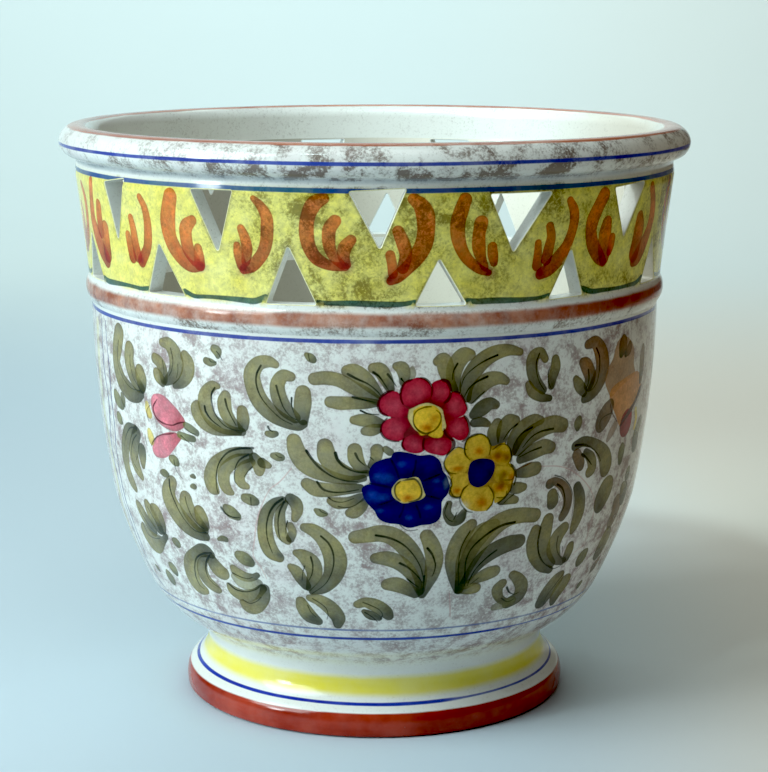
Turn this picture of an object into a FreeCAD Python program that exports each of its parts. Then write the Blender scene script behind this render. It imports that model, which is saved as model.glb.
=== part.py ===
import FreeCAD, Part
import math
import os
import Sketcher

# A round glazed earthenware cachepot, standing on its foot ring.
# The potter's pieces are kept apart, each registered in the next one where
# it is luted: foot ring, bowl, shoulder rib, pierced gallery and rolled rim.
# Millimetres, +Z up, origin at the middle of the face that the pot stands on,
# -Y is the side that carries the bouquet.

doc = FreeCAD.newDocument("flower_pot")
sheet = doc.addObject("Spreadsheet::Sheet", "Sizes")
sheet.Label = "Sizes"
cells = {}


def cell(alias, value):
    """One driving dimension: its name in column A, its number in column B."""
    row = len(cells) + 1
    cells[alias] = float(value)
    sheet.set("A%d" % row, alias)
    sheet.set("B%d" % row, repr(round(float(value), 4)))
    sheet.setAlias("B%d" % row, alias)


# ---------------------------------------------------------------- profiles
# Each profile is a closed loop of corners (name, radius, height). The bulge
# column gives a point that the edge to the next corner passes through when
# that edge is an arc, and None when it is straight.

FOOT = [
    ("foot_in_low", 61.6, 0.0, None),
    ("foot_out_low", 72.9, 0.0, (73.85, 0.55)),
    ("foot_edge_low", 74.2, 2.0, (74.45, 4.2)),
    ("foot_edge_top", 74.2, 6.4, (73.35, 8.75)),
    ("foot_shoulder", 71.2, 10.75, None),
    ("foot_line", 70.1, 11.6, (67.25, 15.0)),
    ("foot_neck", 66.1, 19.4, (66.12, 20.95)),
    ("foot_seat_out", 66.4, 22.5, None),
    ("foot_seat_in", 57.5, 22.5, None),
    ("foot_bore_low", 58.4, 9.0, (59.4, 3.6)),
]

BOWL = [
    ("bowl_under_mid", 0.0, 17.0, None),
    ("bowl_spigot_low", 57.3, 17.0, None),
    ("bowl_spigot_top", 57.3, 22.5, None),
    ("bowl_seat", 66.4, 22.5, (68.35, 26.0)),
    ("bowl_cove", 72.3, 29.5, (80.3, 35.6)),
    ("bowl_turn", 87.2, 44.0, (95.6, 62.5)),
    ("bowl_belly", 101.4, 80.0, (106.3, 112.0)),
    ("bowl_lip_out", 108.8, 155.0, None),
    ("bowl_tongue_out", 106.6, 155.0, None),
    ("bowl_tongue_out_top", 106.5, 156.7, None),
    ("bowl_tongue_in_top", 104.5, 156.7, None),
    ("bowl_tongue_in", 104.4, 155.0, None),
    ("bowl_lip_in", 102.3, 155.0, (99.7, 112.0)),
    ("bowl_in_belly", 94.6, 80.0, (88.8, 62.5)),
    ("bowl_in_turn", 80.0, 46.6, (66.0, 35.0)),
    ("bowl_in_floor", 46.0, 29.4, None),
    ("bowl_floor_mid", 0.0, 28.0, None),
]

RIB = [
    ("rib_low_out", 108.8, 155.0, (110.9, 159.4)),
    ("rib_top_out", 109.7, 164.2, None),
    ("rib_slot_out", 107.7, 164.2, None),
    ("rib_slot_out_low", 107.6, 162.3, None),
    ("rib_slot_in_low", 105.4, 162.3, None),
    ("rib_slot_in", 105.3, 164.2, None),
    ("rib_top_in", 103.2, 164.2, None),
    ("rib_low_in", 102.3, 155.0, None),
    ("rib_groove_in", 104.25, 155.0, None),
    ("rib_groove_in_top", 104.35, 156.9, None),
    ("rib_groove_out_top", 106.65, 156.9, None),
    ("rib_groove_out", 106.75, 155.0, None),
]

GALLERY = [
    ("gallery_low_out", 109.7, 164.2, (111.75, 184.0)),
    ("gallery_top_edge", 114.2, 202.6, None),
    ("gallery_top_out", 113.7, 206.8, None),
    ("gallery_tongue_out", 111.6, 206.8, None),
    ("gallery_tongue_out_top", 111.5, 208.5, None),
    ("gallery_tongue_in_top", 109.5, 208.5, None),
    ("gallery_tongue_in", 109.4, 206.8, None),
    ("gallery_top_in", 107.3, 206.8, None),
    ("gallery_low_in", 103.2, 164.2, None),
    ("gallery_key_in", 105.45, 164.2, None),
    ("gallery_key_in_low", 105.55, 162.5, None),
    ("gallery_key_out_low", 107.45, 162.5, None),
    ("gallery_key_out", 107.55, 164.2, None),
]

RIM = [
    ("rim_low_out", 113.7, 206.8, (114.25, 208.35)),
    ("rim_under", 116.0, 209.3, (119.2, 211.7)),
    ("rim_widest", 120.0, 214.8, (117.9, 218.9)),
    ("rim_crest", 112.8, 220.8, (109.0, 219.2)),
    ("rim_inner", 107.6, 215.4, None),
    ("rim_low_in", 107.3, 206.8, None),
    ("rim_groove_in", 109.25, 206.8, None),
    ("rim_groove_in_top", 109.35, 208.7, None),
    ("rim_groove_out_top", 111.65, 208.7, None),
    ("rim_groove_out", 111.75, 206.8, None),
]

# ------------------------------------------------------- hand-cut openings
# Two rows of triangles are cut through the gallery, one row point down under
# the rim and one row point up over the rib. They were cut by eye, so each has
# its own place and size: azimuth in degrees from the front (-Y) towards +X,
# the two base corners as tangent distance and height, then the point.

POINT_DOWN = [
    (0.7, -9.5, 204.5, 9.5, 205.6, 0.8, 185.0),
    (26.15, -12.0, 203.3, 12.0, 203.3, -1.9, 183.1),
    (52.7, -10.1, 202.9, 10.1, 203.9, -0.8, 184.7),
    (80.4, -9.4, 203.8, 9.8, 203.4, 0.6, 183.2),
    (107.9, -10.2, 203.2, 9.6, 204.2, -0.5, 184.4),
    (135.3, -9.0, 204.3, 9.4, 203.6, 0.9, 182.8),
    (162.8, -8.7, 206.1, 8.7, 206.2, -0.7, 184.0),
    (192.4, -9.5, 206.2, 9.5, 206.1, 0.4, 183.5),
    (220.7, -9.9, 203.3, 9.2, 204.0, 1.1, 184.6),
    (248.9, -9.1, 204.1, 9.7, 203.3, -0.9, 182.9),
    (277.2, -8.8, 203.5, 9.3, 204.4, 0.5, 183.8),
    (306.15, -6.9, 203.2, 6.9, 205.2, -1.7, 182.4),
    (331.05, -8.4, 203.8, 8.4, 204.0, 1.1, 182.4),
]

POINT_UP = [
    (12.05, -8.9, 165.7, 8.9, 165.6, -1.1, 181.8),
    (37.4, -7.7, 165.7, 7.7, 166.0, 0.6, 182.9),
    (66.2, -8.3, 165.8, 8.3, 165.6, -1.0, 182.2),
    (94.2, -8.6, 165.6, 8.2, 165.9, 0.7, 184.3),
    (121.7, -8.1, 165.9, 8.7, 165.6, -0.6, 183.1),
    (149.0, -8.8, 165.6, 8.4, 165.8, 0.9, 184.8),
    (177.6, -8.3, 165.8, 8.5, 165.7, -0.4, 183.4),
    (206.5, -8.5, 165.6, 8.9, 165.9, 0.5, 184.0),
    (234.8, -8.2, 165.8, 8.1, 165.6, -1.0, 182.6),
    (263.0, -8.7, 165.7, 8.6, 165.8, 0.8, 184.5),
    (291.7, -8.4, 165.6, 8.8, 165.8, -0.7, 183.0),
    (318.65, -9.2, 165.6, 9.2, 165.7, -1.3, 183.8),
    (345.3, -8.8, 165.7, 8.8, 165.8, -0.4, 186.0),
]


def circle_radius(a, b, c):
    """Radius of the circle through three points."""
    la = math.dist(b, c)
    lb = math.dist(a, c)
    lc = math.dist(a, b)
    area = abs((b[0] - a[0]) * (c[1] - a[1]) - (c[0] - a[0]) * (b[1] - a[1])) / 2.0
    return la * lb * lc / (4.0 * area)


for table in (FOOT, BOWL, RIB, GALLERY, RIM):
    for i, (name, r, z, bulge) in enumerate(table):
        if r > 0.0:
            cell(name + "_rad", r)
        if z > 0.0:
            cell(name + "_ht", z)
        if bulge is not None:
            nxt = table[(i + 1) % len(table)]
            cell(name + "_arc", circle_radius((r, z), bulge, (nxt[1], nxt[2])))

for row_name, rows in (("down", POINT_DOWN), ("up", POINT_UP)):
    for i, (az, xl, zl, xr, zr, xt, zt) in enumerate(rows, 1):
        key = "%s_%02d_" % (row_name, i)
        cell(key + "azimuth", az)
        cell(key + "left", -xl)
        cell(key + "left_ht", zl)
        cell(key + "right", xr)
        cell(key + "right_ht", zr)
        cell(key + "tip", xt)
        cell(key + "tip_ht", zt)
cell("cut_reach", 130.0)
doc.recompute()


# ------------------------------------------------------------------ helpers
def origin_plane(body, role):
    for feature in body.Origin.OriginFeatures:
        if feature.Role == role:
            return feature
    raise RuntimeError(role)


def sketch_on(body, name, role="XZ_Plane"):
    sketch = body.newObject("Sketcher::SketchObject", name)
    sketch.AttachmentSupport = [(origin_plane(body, role), "")]
    sketch.MapMode = "FlatFace"
    return sketch


def bind(sketch, index, alias, sign=""):
    sketch.setExpression("Constraints[%d]" % index, "%sSizes.%s" % (sign, alias))


def hold_corner(sketch, geo, pos, name, r, z):
    """Tie one corner of a profile to its radius and height."""
    if r > 0.0:
        c = sketch.addConstraint(Sketcher.Constraint("DistanceX", -1, 1, geo, pos, r))
        bind(sketch, c, name + "_rad")
    else:
        sketch.addConstraint(Sketcher.Constraint("PointOnObject", geo, pos, -2))
    if z > 0.0:
        c = sketch.addConstraint(Sketcher.Constraint("DistanceY", -1, 1, geo, pos, z))
        bind(sketch, c, name + "_ht")
    else:
        sketch.addConstraint(Sketcher.Constraint("PointOnObject", geo, pos, -1))


def draw_profile(sketch, table):
    vec = FreeCAD.Vector
    ends = []
    n = len(table)
    for i, (name, r, z, bulge) in enumerate(table):
        nxt = table[(i + 1) % n]
        a, b = vec(r, z, 0), vec(nxt[1], nxt[2], 0)
        if bulge is None:
            geo = sketch.addGeometry(Part.LineSegment(a, b), False)
        else:
            geo = sketch.addGeometry(Part.Arc(a, vec(bulge[0], bulge[1], 0), b), False)
        first = sketch.getPoint(geo, 1)
        if (first - a).Length < 1e-6:
            ends.append((geo, 1, 2))
        else:
            ends.append((geo, 2, 1))
    for i in range(n):
        geo, start, stop = ends[i]
        ngeo, nstart, nstop = ends[(i + 1) % n]
        sketch.addConstraint(Sketcher.Constraint("Coincident", geo, stop, ngeo, nstart))
    for i, (name, r, z, bulge) in enumerate(table):
        geo, start, stop = ends[i]
        hold_corner(sketch, geo, start, name, r, z)
        if bulge is not None:
            c = sketch.addConstraint(Sketcher.Constraint("Radius", geo, cells[name + "_arc"]))
            bind(sketch, c, name + "_arc")


def turned(label, table):
    """A piece thrown on the wheel: its section turned about the pot's axis."""
    body = doc.addObject("PartDesign::Body", label)
    body.Label = label
    sketch = sketch_on(body, label + "_section")
    draw_profile(sketch, table)
    doc.recompute()
    turn = body.newObject("PartDesign::Revolution", label + "_turn")
    turn.Profile = sketch
    turn.ReferenceAxis = (sketch, ["V_Axis"])
    turn.Angle = 360.0
    body.Tip = turn
    doc.recompute()
    return body


def cut_triangle(body, key, az, xl, zl, xr, zr, xt, zt):
    """One hand-cut opening, cut straight through the wall along its azimuth."""
    vec = FreeCAD.Vector
    sketch = sketch_on(body, key + "sketch")
    sketch.AttachmentOffset = FreeCAD.Placement(vec(0, 0, 0), FreeCAD.Rotation(vec(0, 1, 0), az))
    sketch.setExpression("AttachmentOffset.Rotation.Angle", "Sizes.%sazimuth" % key)
    corners = [(xl, zl), (xr, zr), (xt, zt)]
    geos = []
    for i in range(3):
        a, b = corners[i], corners[(i + 1) % 3]
        geos.append(sketch.addGeometry(Part.LineSegment(vec(a[0], a[1], 0), vec(b[0], b[1], 0)), False))
    for i in range(3):
        sketch.addConstraint(Sketcher.Constraint("Coincident", geos[i], 2, geos[(i + 1) % 3], 1))
    c = sketch.addConstraint(Sketcher.Constraint("DistanceX", geos[0], 1, -1, 1, -xl))
    bind(sketch, c, key + "left")
    c = sketch.addConstraint(Sketcher.Constraint("DistanceY", -1, 1, geos[0], 1, zl))
    bind(sketch, c, key + "left_ht")
    c = sketch.addConstraint(Sketcher.Constraint("DistanceX", -1, 1, geos[1], 1, xr))
    bind(sketch, c, key + "right")
    c = sketch.addConstraint(Sketcher.Constraint("DistanceY", -1, 1, geos[1], 1, zr))
    bind(sketch, c, key + "right_ht")
    c = sketch.addConstraint(Sketcher.Constraint("DistanceX", -1, 1, geos[2], 1, xt))
    bind(sketch, c, key + "tip")
    c = sketch.addConstraint(Sketcher.Constraint("DistanceY", -1, 1, geos[2], 1, zt))
    bind(sketch, c, key + "tip_ht")
    doc.recompute()
    pocket = body.newObject("PartDesign::Pocket", key + "cut")
    pocket.Profile = sketch
    pocket.Type = 0
    pocket.Reversed = True
    pocket.setExpression("Length", "Sizes.cut_reach")
    body.Tip = pocket
    return pocket


# ------------------------------------------------------------------- pieces
foot = turned("foot_ring", FOOT)
bowl = turned("bowl", BOWL)
rib = turned("shoulder_rib", RIB)
gallery = turned("pierced_gallery", GALLERY)
rim = turned("rim", RIM)

whole = gallery.Shape.Volume
for row_name, rows in (("down", POINT_DOWN), ("up", POINT_UP)):
    for i, row in enumerate(rows, 1):
        cut_triangle(gallery, "%s_%02d_" % (row_name, i), *row)
doc.recompute()

# The openings take out about the area of their triangles times the wall.
wall = 6.45
expected = 0.0
for az, xl, zl, xr, zr, xt, zt in POINT_DOWN + POINT_UP:
    expected += wall * abs((xr - xl) * (zt - zl) - (xt - xl) * (zr - zl)) / 2.0
removed = whole - gallery.Shape.Volume
print("gallery: cut out %.0f mm3, about %.0f expected" % (removed, expected))
if not 0.9 < removed / expected < 1.1:
    raise RuntimeError("the openings were not cut through the wall")

# -------------------------------------------------------------------- write
pieces = [foot, bowl, rib, gallery, rim]
for obj in doc.Objects:
    if "Invalid" in obj.State or "Error" in obj.State:
        raise RuntimeError("%s is %s" % (obj.Name, obj.State))
for piece in pieces:
    shape = piece.Shape
    if shape.isNull() or not shape.isValid() or len(shape.Solids) != 1:
        raise RuntimeError("%s has no single valid solid" % piece.Label)
    piece.Placement = FreeCAD.Placement()

os.makedirs("parts", exist_ok=True)
for piece in pieces:
    piece.Shape.exportStep(os.path.join("parts", piece.Label + ".step"))
    box = piece.Shape.optimalBoundingBox(False)
    print("%-16s %8.0f mm3  x %.1f..%.1f  z %.1f..%.1f" % (
        piece.Label, piece.Shape.Volume, box.XMin, box.XMax, box.ZMin, box.ZMax))
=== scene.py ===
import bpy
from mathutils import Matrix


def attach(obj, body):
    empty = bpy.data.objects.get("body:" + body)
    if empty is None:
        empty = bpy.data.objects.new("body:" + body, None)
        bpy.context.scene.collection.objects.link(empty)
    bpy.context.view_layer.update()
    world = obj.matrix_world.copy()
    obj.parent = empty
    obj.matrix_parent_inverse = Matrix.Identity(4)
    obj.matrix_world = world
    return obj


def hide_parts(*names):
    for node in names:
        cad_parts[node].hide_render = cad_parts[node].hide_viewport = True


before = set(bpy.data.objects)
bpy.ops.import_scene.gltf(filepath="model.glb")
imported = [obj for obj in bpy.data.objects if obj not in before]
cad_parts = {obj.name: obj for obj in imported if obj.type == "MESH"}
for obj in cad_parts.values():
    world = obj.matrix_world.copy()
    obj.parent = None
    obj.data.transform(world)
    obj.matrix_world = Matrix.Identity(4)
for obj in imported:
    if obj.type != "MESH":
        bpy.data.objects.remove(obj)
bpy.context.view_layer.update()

import copy
import math

import bpy
import numpy as np
from mathutils import Matrix, Vector, kdtree
from mathutils.geometry import delaunay_2d_cdt

# A glazed earthenware cachepot: foot ring, bowl, shoulder rib, pierced gallery
# and rolled rim, each turned on the wheel, then sponged and painted by hand.
# Shapes are worked out in millimetres and written to the meshes in metres.
# Azimuth is in degrees from the front (-Y) towards +X.

MM = 0.001
COLUMNS = 288


def srgb(r, g, b):
    """A colour given as 0..255 display values, as linear light."""
    out = []
    for v in (r, g, b):
        v /= 255.0
        out.append(v / 12.92 if v <= 0.04045 else ((v + 0.055) / 1.055) ** 2.4)
    return tuple(out)


# --------------------------------------------------------------- brushwork
# One panel of the belly: sprays of leaf strokes round a bouquet. A stroke is
# a run of (azimuth, height, width of the brush mark), a line is a run of
# (azimuth, height) and its width, a patch is an outline, a spot is a drop of
# pigment with its radius, and a wash is a soft second colour.

PANEL = {
    "a1": [
        ("L", "stroke", ((-58, 149.5, 7.7), (-59.3, 143.6, 8.2), (-60.3, 137.7, 6.7), (-59.7, 133.4, 7.7), (-58.2, 129.8, 7.9), (-55.5, 127.2, 7.7), (-52.5, 126.2, 5.1), (-50.4, 127.4, 3.2),)),
        ("L", "stroke", ((-54.1, 144.2, 6.7), (-54.7, 139.3, 7), (-54, 135.1, 6.8), (-52.4, 131.4, 6.2), (-50.1, 129.1, 3.7),)),
        ("L", "stroke", ((-51.1, 136.6, 6.2), (-50.5, 133.1, 6.8), (-50.4, 129.8, 5.5),)),
        ("K", "spot", (-50.3, 127.2, 1.7)),
        ("V", "line", ((-58.72, 145.2), (-59.6, 139.8), (-59.33, 135), (-57.25, 130.8), (-54.55, 128.6), (-51.19, 128.6),), 0.58),
        ("V", "line", ((-54.16, 140.9), (-54.22, 137.2), (-53.39, 133), (-51.47, 129.5),), 0.58),
    ],
    "a1d": [
        ("D", "stroke", ((-62.6, 125, 3.9), (-61.6, 122.7, 5.8), (-59.8, 121, 4.5), (-58.5, 120.3, 1.6),)),
        ("D", "stroke", ((-59.2, 125.3, 1.9), (-58.6, 123.3, 3.7), (-58.2, 120.8, 1.9),)),
        ("D", "stroke", ((-62.5, 116.2, 3.9), (-61.5, 115.1, 4.8), (-60.2, 113.7, 1.9),)),
    ],
    "a2": [
        ("L", "stroke", ((-43.7, 148.2, 3.2), (-41.6, 147.9, 5.1), (-40.1, 145, 6.6), (-39.7, 140.8, 7), (-40.9, 136.5, 5.3), (-43, 133.9, 3.2),)),
        ("L", "stroke", ((-37.6, 144.9, 4.3), (-36.6, 142.1, 5.3), (-36.9, 138.5, 5.8), (-38.4, 134.9, 4.3), (-40.6, 133, 2.2),)),
        ("L", "stroke", ((-46, 142.2, 4.2), (-44.4, 140.8, 4.9), (-43.5, 138.1, 5), (-43.3, 134.2, 3.9),)),
        ("L", "stroke", ((-45.6, 137.2, 4), (-44.9, 135.6, 5.1), (-43.6, 133.4, 3.8),)),
        ("K", "spot", (-42.2, 133.7, 1.5)),
        ("V", "line", ((-41.1, 146.6), (-40.56, 142.7), (-40.96, 139), (-42.06, 135.9),), 0.58),
        ("V", "line", ((-43.48, 141.7), (-43.19, 138.5), (-43.32, 136),), 0.5),
        ("V", "line", ((-39.3, 141.2), (-39.39, 138.7), (-39.91, 135.7),), 0.5),
    ],
    "a2d": [
        ("D", "stroke", ((-30.6, 148.5, 3.2), (-29.8, 147.6, 3.8), (-29.7, 145.8, 2.1),)),
        ("V", "line", ((-29.98, 147.5), (-29.45, 146.6), (-28.73, 144.6),), 0.77),
        ("D", "stroke", ((-32.5, 143.9, 2.7), (-31.4, 143.4, 3), (-30.3, 143.3, 1.5),)),
        ("V", "line", ((-31.61, 144.4), (-31.17, 143.6), (-30.06, 143.8),), 0.77),
    ],
    "bud": [
        ("PK", "stroke", ((-46.4, 126.1, 7), (-44.5, 123.3, 11.4), (-41.8, 121, 9.6), (-39.4, 120.2, 5.3),)),
        ("PK", "stroke", ((-47.9, 107.1, 5.5), (-45.4, 109.7, 8.4), (-42.1, 113.2, 5.4), (-40.1, 114.5, 2.1),)),
        ("YS", "stroke", ((-49.3, 124.9, 2), (-49.1, 122.4, 3.3), (-48.5, 120, 3.3),)),
        ("YS", "stroke", ((-49.4, 114.5, 2.7), (-49, 112, 4), (-48.9, 109.8, 2.7),)),
        ("ST", "stroke", ((-38.5, 119.6, 2.4), (-37.2, 118.5, 3.2), (-35.5, 117.1, 2.7),)),
        ("ST", "stroke", ((-40.3, 115.5, 2.7), (-38.5, 114.9, 3), (-36.4, 114.7, 2.5),)),
        ("VC", "line", ((-45.76, 127), (-47.25, 123.6), (-46.59, 120.1), (-44.59, 118.5), (-42, 118.4), (-40.27, 119.6), (-38.63, 120.4),), 0.62),
        ("VC", "line", ((-48.17, 124.1), (-49.32, 122.3), (-49.53, 120), (-48.92, 117.6),), 0.58),
        ("V", "line", ((-38.64, 118.2), (-37.29, 117), (-35.81, 116.6),), 0.58),
        ("VC", "line", ((-49.21, 108.6), (-48.08, 111.2), (-45.92, 113.6), (-41.8, 115.5),), 0.58),
        ("VC", "line", ((-51.04, 112.3), (-50.97, 109.9), (-50.52, 107.8),), 0.5),
        ("V", "line", ((-39.76, 115.3), (-38.54, 113.8), (-36.83, 112.3),), 0.62),
    ],
    "a4": [
        ("L", "stroke", ((-35, 128.3, 2.6), (-35.4, 125.8, 4.8), (-34.3, 122.1, 5.1), (-31.8, 119.5, 4.2), (-28.9, 118.8, 2.7), (-25.6, 119.2, 1.8),)),
        ("L", "stroke", ((-29.8, 135.3, 2.2), (-31.2, 135.1, 3.9), (-32.8, 132.1, 5.3), (-33.2, 128.1, 5.9), (-32.1, 123.6, 5.8), (-29.7, 120.8, 5), (-27.1, 119.7, 3.5), (-25, 119.7, 3),)),
        ("L", "stroke", ((-28.3, 132.2, 4.4), (-28.7, 129.3, 5.9), (-28.4, 125.8, 5.6), (-27.2, 122.7, 4.6), (-25.6, 120.5, 3.3),)),
        ("L", "stroke", ((-24.9, 127.4, 4.4), (-24.8, 124.6, 5.2), (-24.9, 121.7, 4.4),)),
        ("K", "spot", (-25, 120.2, 1.8)),
        ("V", "line", ((-33.21, 127.4), (-32.95, 125.3), (-31.67, 122.6), (-29.51, 120.3),), 1.16),
        ("V", "line", ((-30.65, 134.5), (-31.4, 132.4), (-31.5, 129.5), (-30.97, 125.6), (-29.44, 122), (-27.31, 120.2), (-24.97, 120),), 0.96),
        ("V", "line", ((-28.45, 130.8), (-28.11, 128), (-27.35, 124.9), (-26.29, 121.6),), 1.16),
    ],
    "d1": [
        ("L", "stroke", ((-17.9, 144.6, 2.9), (-19.3, 145.5, 4.2), (-21.3, 144.5, 5.2), (-22.6, 140.9, 6.4), (-22.3, 136, 6.7), (-21.1, 131.2, 6.7), (-18.9, 127.2, 6.1), (-16.2, 124.6, 4.8), (-13.9, 123.2, 3.3), (-12.8, 124.2, 3.1),)),
        ("L", "stroke", ((-15, 140.6, 3.5), (-16.5, 140.8, 4.5), (-17.6, 137.9, 5.4), (-17.5, 133.7, 6), (-16.3, 129.2, 5.6), (-14.4, 126.2, 4.1),)),
        ("L", "stroke", ((-12.8, 135.2, 5.6), (-12.9, 131.7, 6.4), (-13.1, 128.1, 5.7), (-12.9, 125.6, 4),)),
        ("K", "spot", (-12.8, 124.9, 2.1)),
        ("V", "line", ((-20.8, 143.9), (-21.64, 141), (-21.81, 137.4), (-21.1, 133.3), (-19.59, 129.6), (-17.14, 125.6), (-14.86, 123.7),), 0.96),
        ("V", "line", ((-17.88, 137.2), (-17.45, 134.1), (-16.57, 129.6), (-15.19, 126.5), (-13.69, 125.2),), 0.96),
        ("V", "line", ((-14.98, 133.2), (-15.02, 130.8), (-14.68, 128),), 0.96),
    ],
    "d1d": [
        ("D", "stroke", ((-20, 119.9, 2.2), (-19.1, 119.8, 2.9), (-18.2, 120.1, 2.1),)),
        ("V", "line", ((-19.77, 122.4), (-19.5, 121.4), (-18.82, 120.7),), 1.16),
        ("D", "stroke", ((-12.1, 148.5, 1.8), (-11.3, 147.5, 3.2), (-10.8, 146.8, 2.5),)),
        ("V", "line", ((-11.71, 148.7), (-11.63, 147.5), (-11.45, 146.5),), 0.77),
    ],
    "e1": [
        ("LR", "stroke", ((-23.8, 112.8, 3), (-26.3, 112.4, 3.6), (-29.1, 110.4, 4.2), (-31.8, 106.9, 4.8), (-33.2, 102.1, 5.8), (-33, 98.1, 5.8), (-32, 96.4, 2.8),)),
        ("LR", "stroke", ((-23.9, 110.6, 3.2), (-26.9, 109, 4.5), (-29.4, 105.2, 4.9), (-30.1, 101.3, 5.2), (-29.6, 98.1, 4.6), (-28.4, 96.7, 2.2),)),
        ("LR", "stroke", ((-23.5, 109.2, 3.1), (-25.3, 106.7, 4.3), (-26.4, 103.2, 4.4), (-26.1, 100.7, 3.9), (-24.9, 99.8, 2.5),)),
        ("LR", "stroke", ((-23, 110.8, 4.1), (-22.1, 108.3, 5.3), (-22.1, 105.8, 3.9),)),
        ("LR", "stroke", ((-21.4, 109.2, 3.9), (-20.2, 108.4, 2.7), (-19.6, 108.3, 1.1),)),
        ("K", "spot", (-23.4, 111.1, 1.9)),
        ("V", "line", ((-23.09, 114.2), (-25.86, 113.6), (-28.58, 111.6), (-30.73, 107.5), (-31.72, 102.8), (-31.94, 97.9), (-31.74, 95.7),), 1.16),
        ("V", "line", ((-24.13, 111.7), (-26.04, 109.5), (-27.05, 106.8), (-27.54, 103.7), (-27.57, 101.1), (-27.07, 100.1),), 0.96),
        ("V", "line", ((-23.47, 107.2), (-24.51, 105.4), (-25.36, 103.4),), 0.77),
    ],
    "e1d": [
        ("D", "stroke", ((-19.1, 112.1, 2.3), (-18.1, 111.8, 3.4), (-17.3, 111.6, 2.6),)),
        ("V", "line", ((-18.46, 112.5), (-17.89, 111.7), (-17.3, 111.6),), 0.77),
        ("D", "stroke", ((-25.7, 95.4, 3.6), (-24.4, 95, 4.5), (-23.3, 94.5, 3.3),)),
        ("V", "line", ((-24.34, 95.8), (-24.4, 92.8),), 0.77),
        ("D", "stroke", ((-30.3, 90.8, 3.2), (-29.2, 89.4, 5), (-27.7, 88, 3.5),)),
        ("V", "line", ((-31.41, 90.6), (-30.49, 88.5), (-28.91, 87.5), (-27.29, 87.7),), 1.16),
        ("D", "stroke", ((-33.2, 77.9, 1.6), (-32, 78.6, 2.6), (-31.2, 78.4, 2.4),)),
        ("D", "stroke", ((-38.3, 100.5, 1.2), (-37.5, 100.7, 2.1), (-37.2, 100.4, 1.5),)),
        ("D", "stroke", ((-38.6, 96.6, 1.2), (-37.8, 96.8, 2.5), (-37.3, 96.8, 1.7),)),
    ],
    "e2": [
        ("L", "stroke", ((-43.6, 97.4, 4.9), (-45.3, 93.5, 6.9), (-45.5, 89.6, 8.3), (-44, 85.2, 8.7), (-41.5, 81.3, 8.2), (-38.7, 78.9, 6), (-36.3, 78.2, 4.1),)),
        ("L", "stroke", ((-40.4, 92.3, 6), (-40.5, 88.9, 7.4), (-39.5, 85.4, 7.3), (-37.7, 82.1, 5.9), (-36.2, 80.6, 3.7),)),
        ("L", "stroke", ((-37.2, 87.9, 5.3), (-36.8, 85, 6.3), (-36.2, 82.1, 4.8),)),
        ("K", "spot", (-36.6, 80.1, 1.9)),
        ("V", "line", ((-44.7, 97.5), (-44.85, 93.7), (-44.12, 89.7), (-42.53, 84.5), (-40.12, 80.4), (-38.05, 79.3), (-36.07, 79.8),), 0.96),
        ("V", "line", ((-40.6, 92.1), (-40.39, 88.9), (-39.33, 84.7), (-37.69, 82.1), (-36.46, 81.1),), 0.77),
    ],
    "e2d": [
        ("D", "stroke", ((-47.1, 99.4, 1.9), (-45.9, 99.4, 3.4), (-44.8, 99.2, 2),)),
        ("D", "stroke", ((-43.4, 105.8, 3.1), (-42.3, 105.2, 4.2), (-41.5, 104.3, 2.7),)),
        ("V", "line", ((-42.53, 105.3), (-42.28, 102), (-41.71, 100.5), (-40.72, 99),), 0.77),
    ],
    "b1": [
        ("LR", "stroke", ((-54.2, 113.9, 2.6), (-57.5, 112, 5.6), (-59.6, 107.4, 6.7), (-61.1, 101.5, 6.8), (-61.1, 95.8, 5.8), (-60, 91.9, 5.8), (-58.3, 88.7, 3.4),)),
        ("LR", "stroke", ((-53.8, 112.8, 5.7), (-55.4, 108.5, 6.3), (-56.7, 103.1, 7.1), (-56.2, 98.7, 6.3), (-54.4, 94.7, 3.3),)),
        ("LR", "stroke", ((-52.8, 107, 5.3), (-53.1, 103.9, 5.4), (-53.4, 99.3, 2.8),)),
        ("V", "line", ((-53.89, 113.5), (-56.38, 113.3), (-58.62, 110.4), (-60.33, 106.4), (-61.1, 102.7),), 0.77),
        ("V", "line", ((-54.41, 111.1), (-56.29, 108.2), (-57.68, 103.9), (-57.54, 99.7), (-55.64, 97),), 0.77),
        ("V", "line", ((-55.25, 102.8), (-55.97, 101.1),), 0.58),
    ],
    "b2": [
        ("L", "stroke", ((-59.3, 83.6, 3.9), (-58, 81, 5.8), (-56.5, 77.6, 6.8), (-54.2, 74.1, 6.7),)),
        ("L", "stroke", ((-54.8, 85.3, 4.4), (-53.9, 82.5, 6), (-52.7, 79.1, 7), (-51.3, 75.6, 6),)),
        ("L", "stroke", ((-52.5, 84.2, 4.7), (-51.2, 82.4, 7), (-50.6, 79.4, 7.2), (-50.5, 75.9, 5.7),)),
        ("L", "stroke", ((-58.9, 75.1, 3.9), (-58.9, 71.5, 7.8), (-56.1, 69, 9.7), (-51.4, 71.6, 3.3), (-49.5, 74.3, 3),)),
        ("K", "spot", (-51, 75.3, 2.1)),
        ("K", "spot", (-50.1, 73.3, 1.8)),
        ("V", "line", ((-59.01, 81.8), (-57.26, 78.1), (-55.22, 74.9), (-52.46, 73.2),), 0.58),
        ("V", "line", ((-54.52, 83.5), (-53.09, 80.5), (-51.54, 77.5),), 0.58),
        ("V", "line", ((-58.91, 75.1), (-57.94, 71.5), (-55.39, 70.9), (-52.45, 72),), 0.58),
    ],
    "b2d": [
        ("D", "stroke", ((-47.3, 73.1, 2.9), (-46.3, 72.4, 4.4), (-46, 71.5, 2.2),)),
        ("V", "line", ((-47.75, 70.1), (-46.57, 67.5),), 0.46),
    ],
    "cd": [
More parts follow.
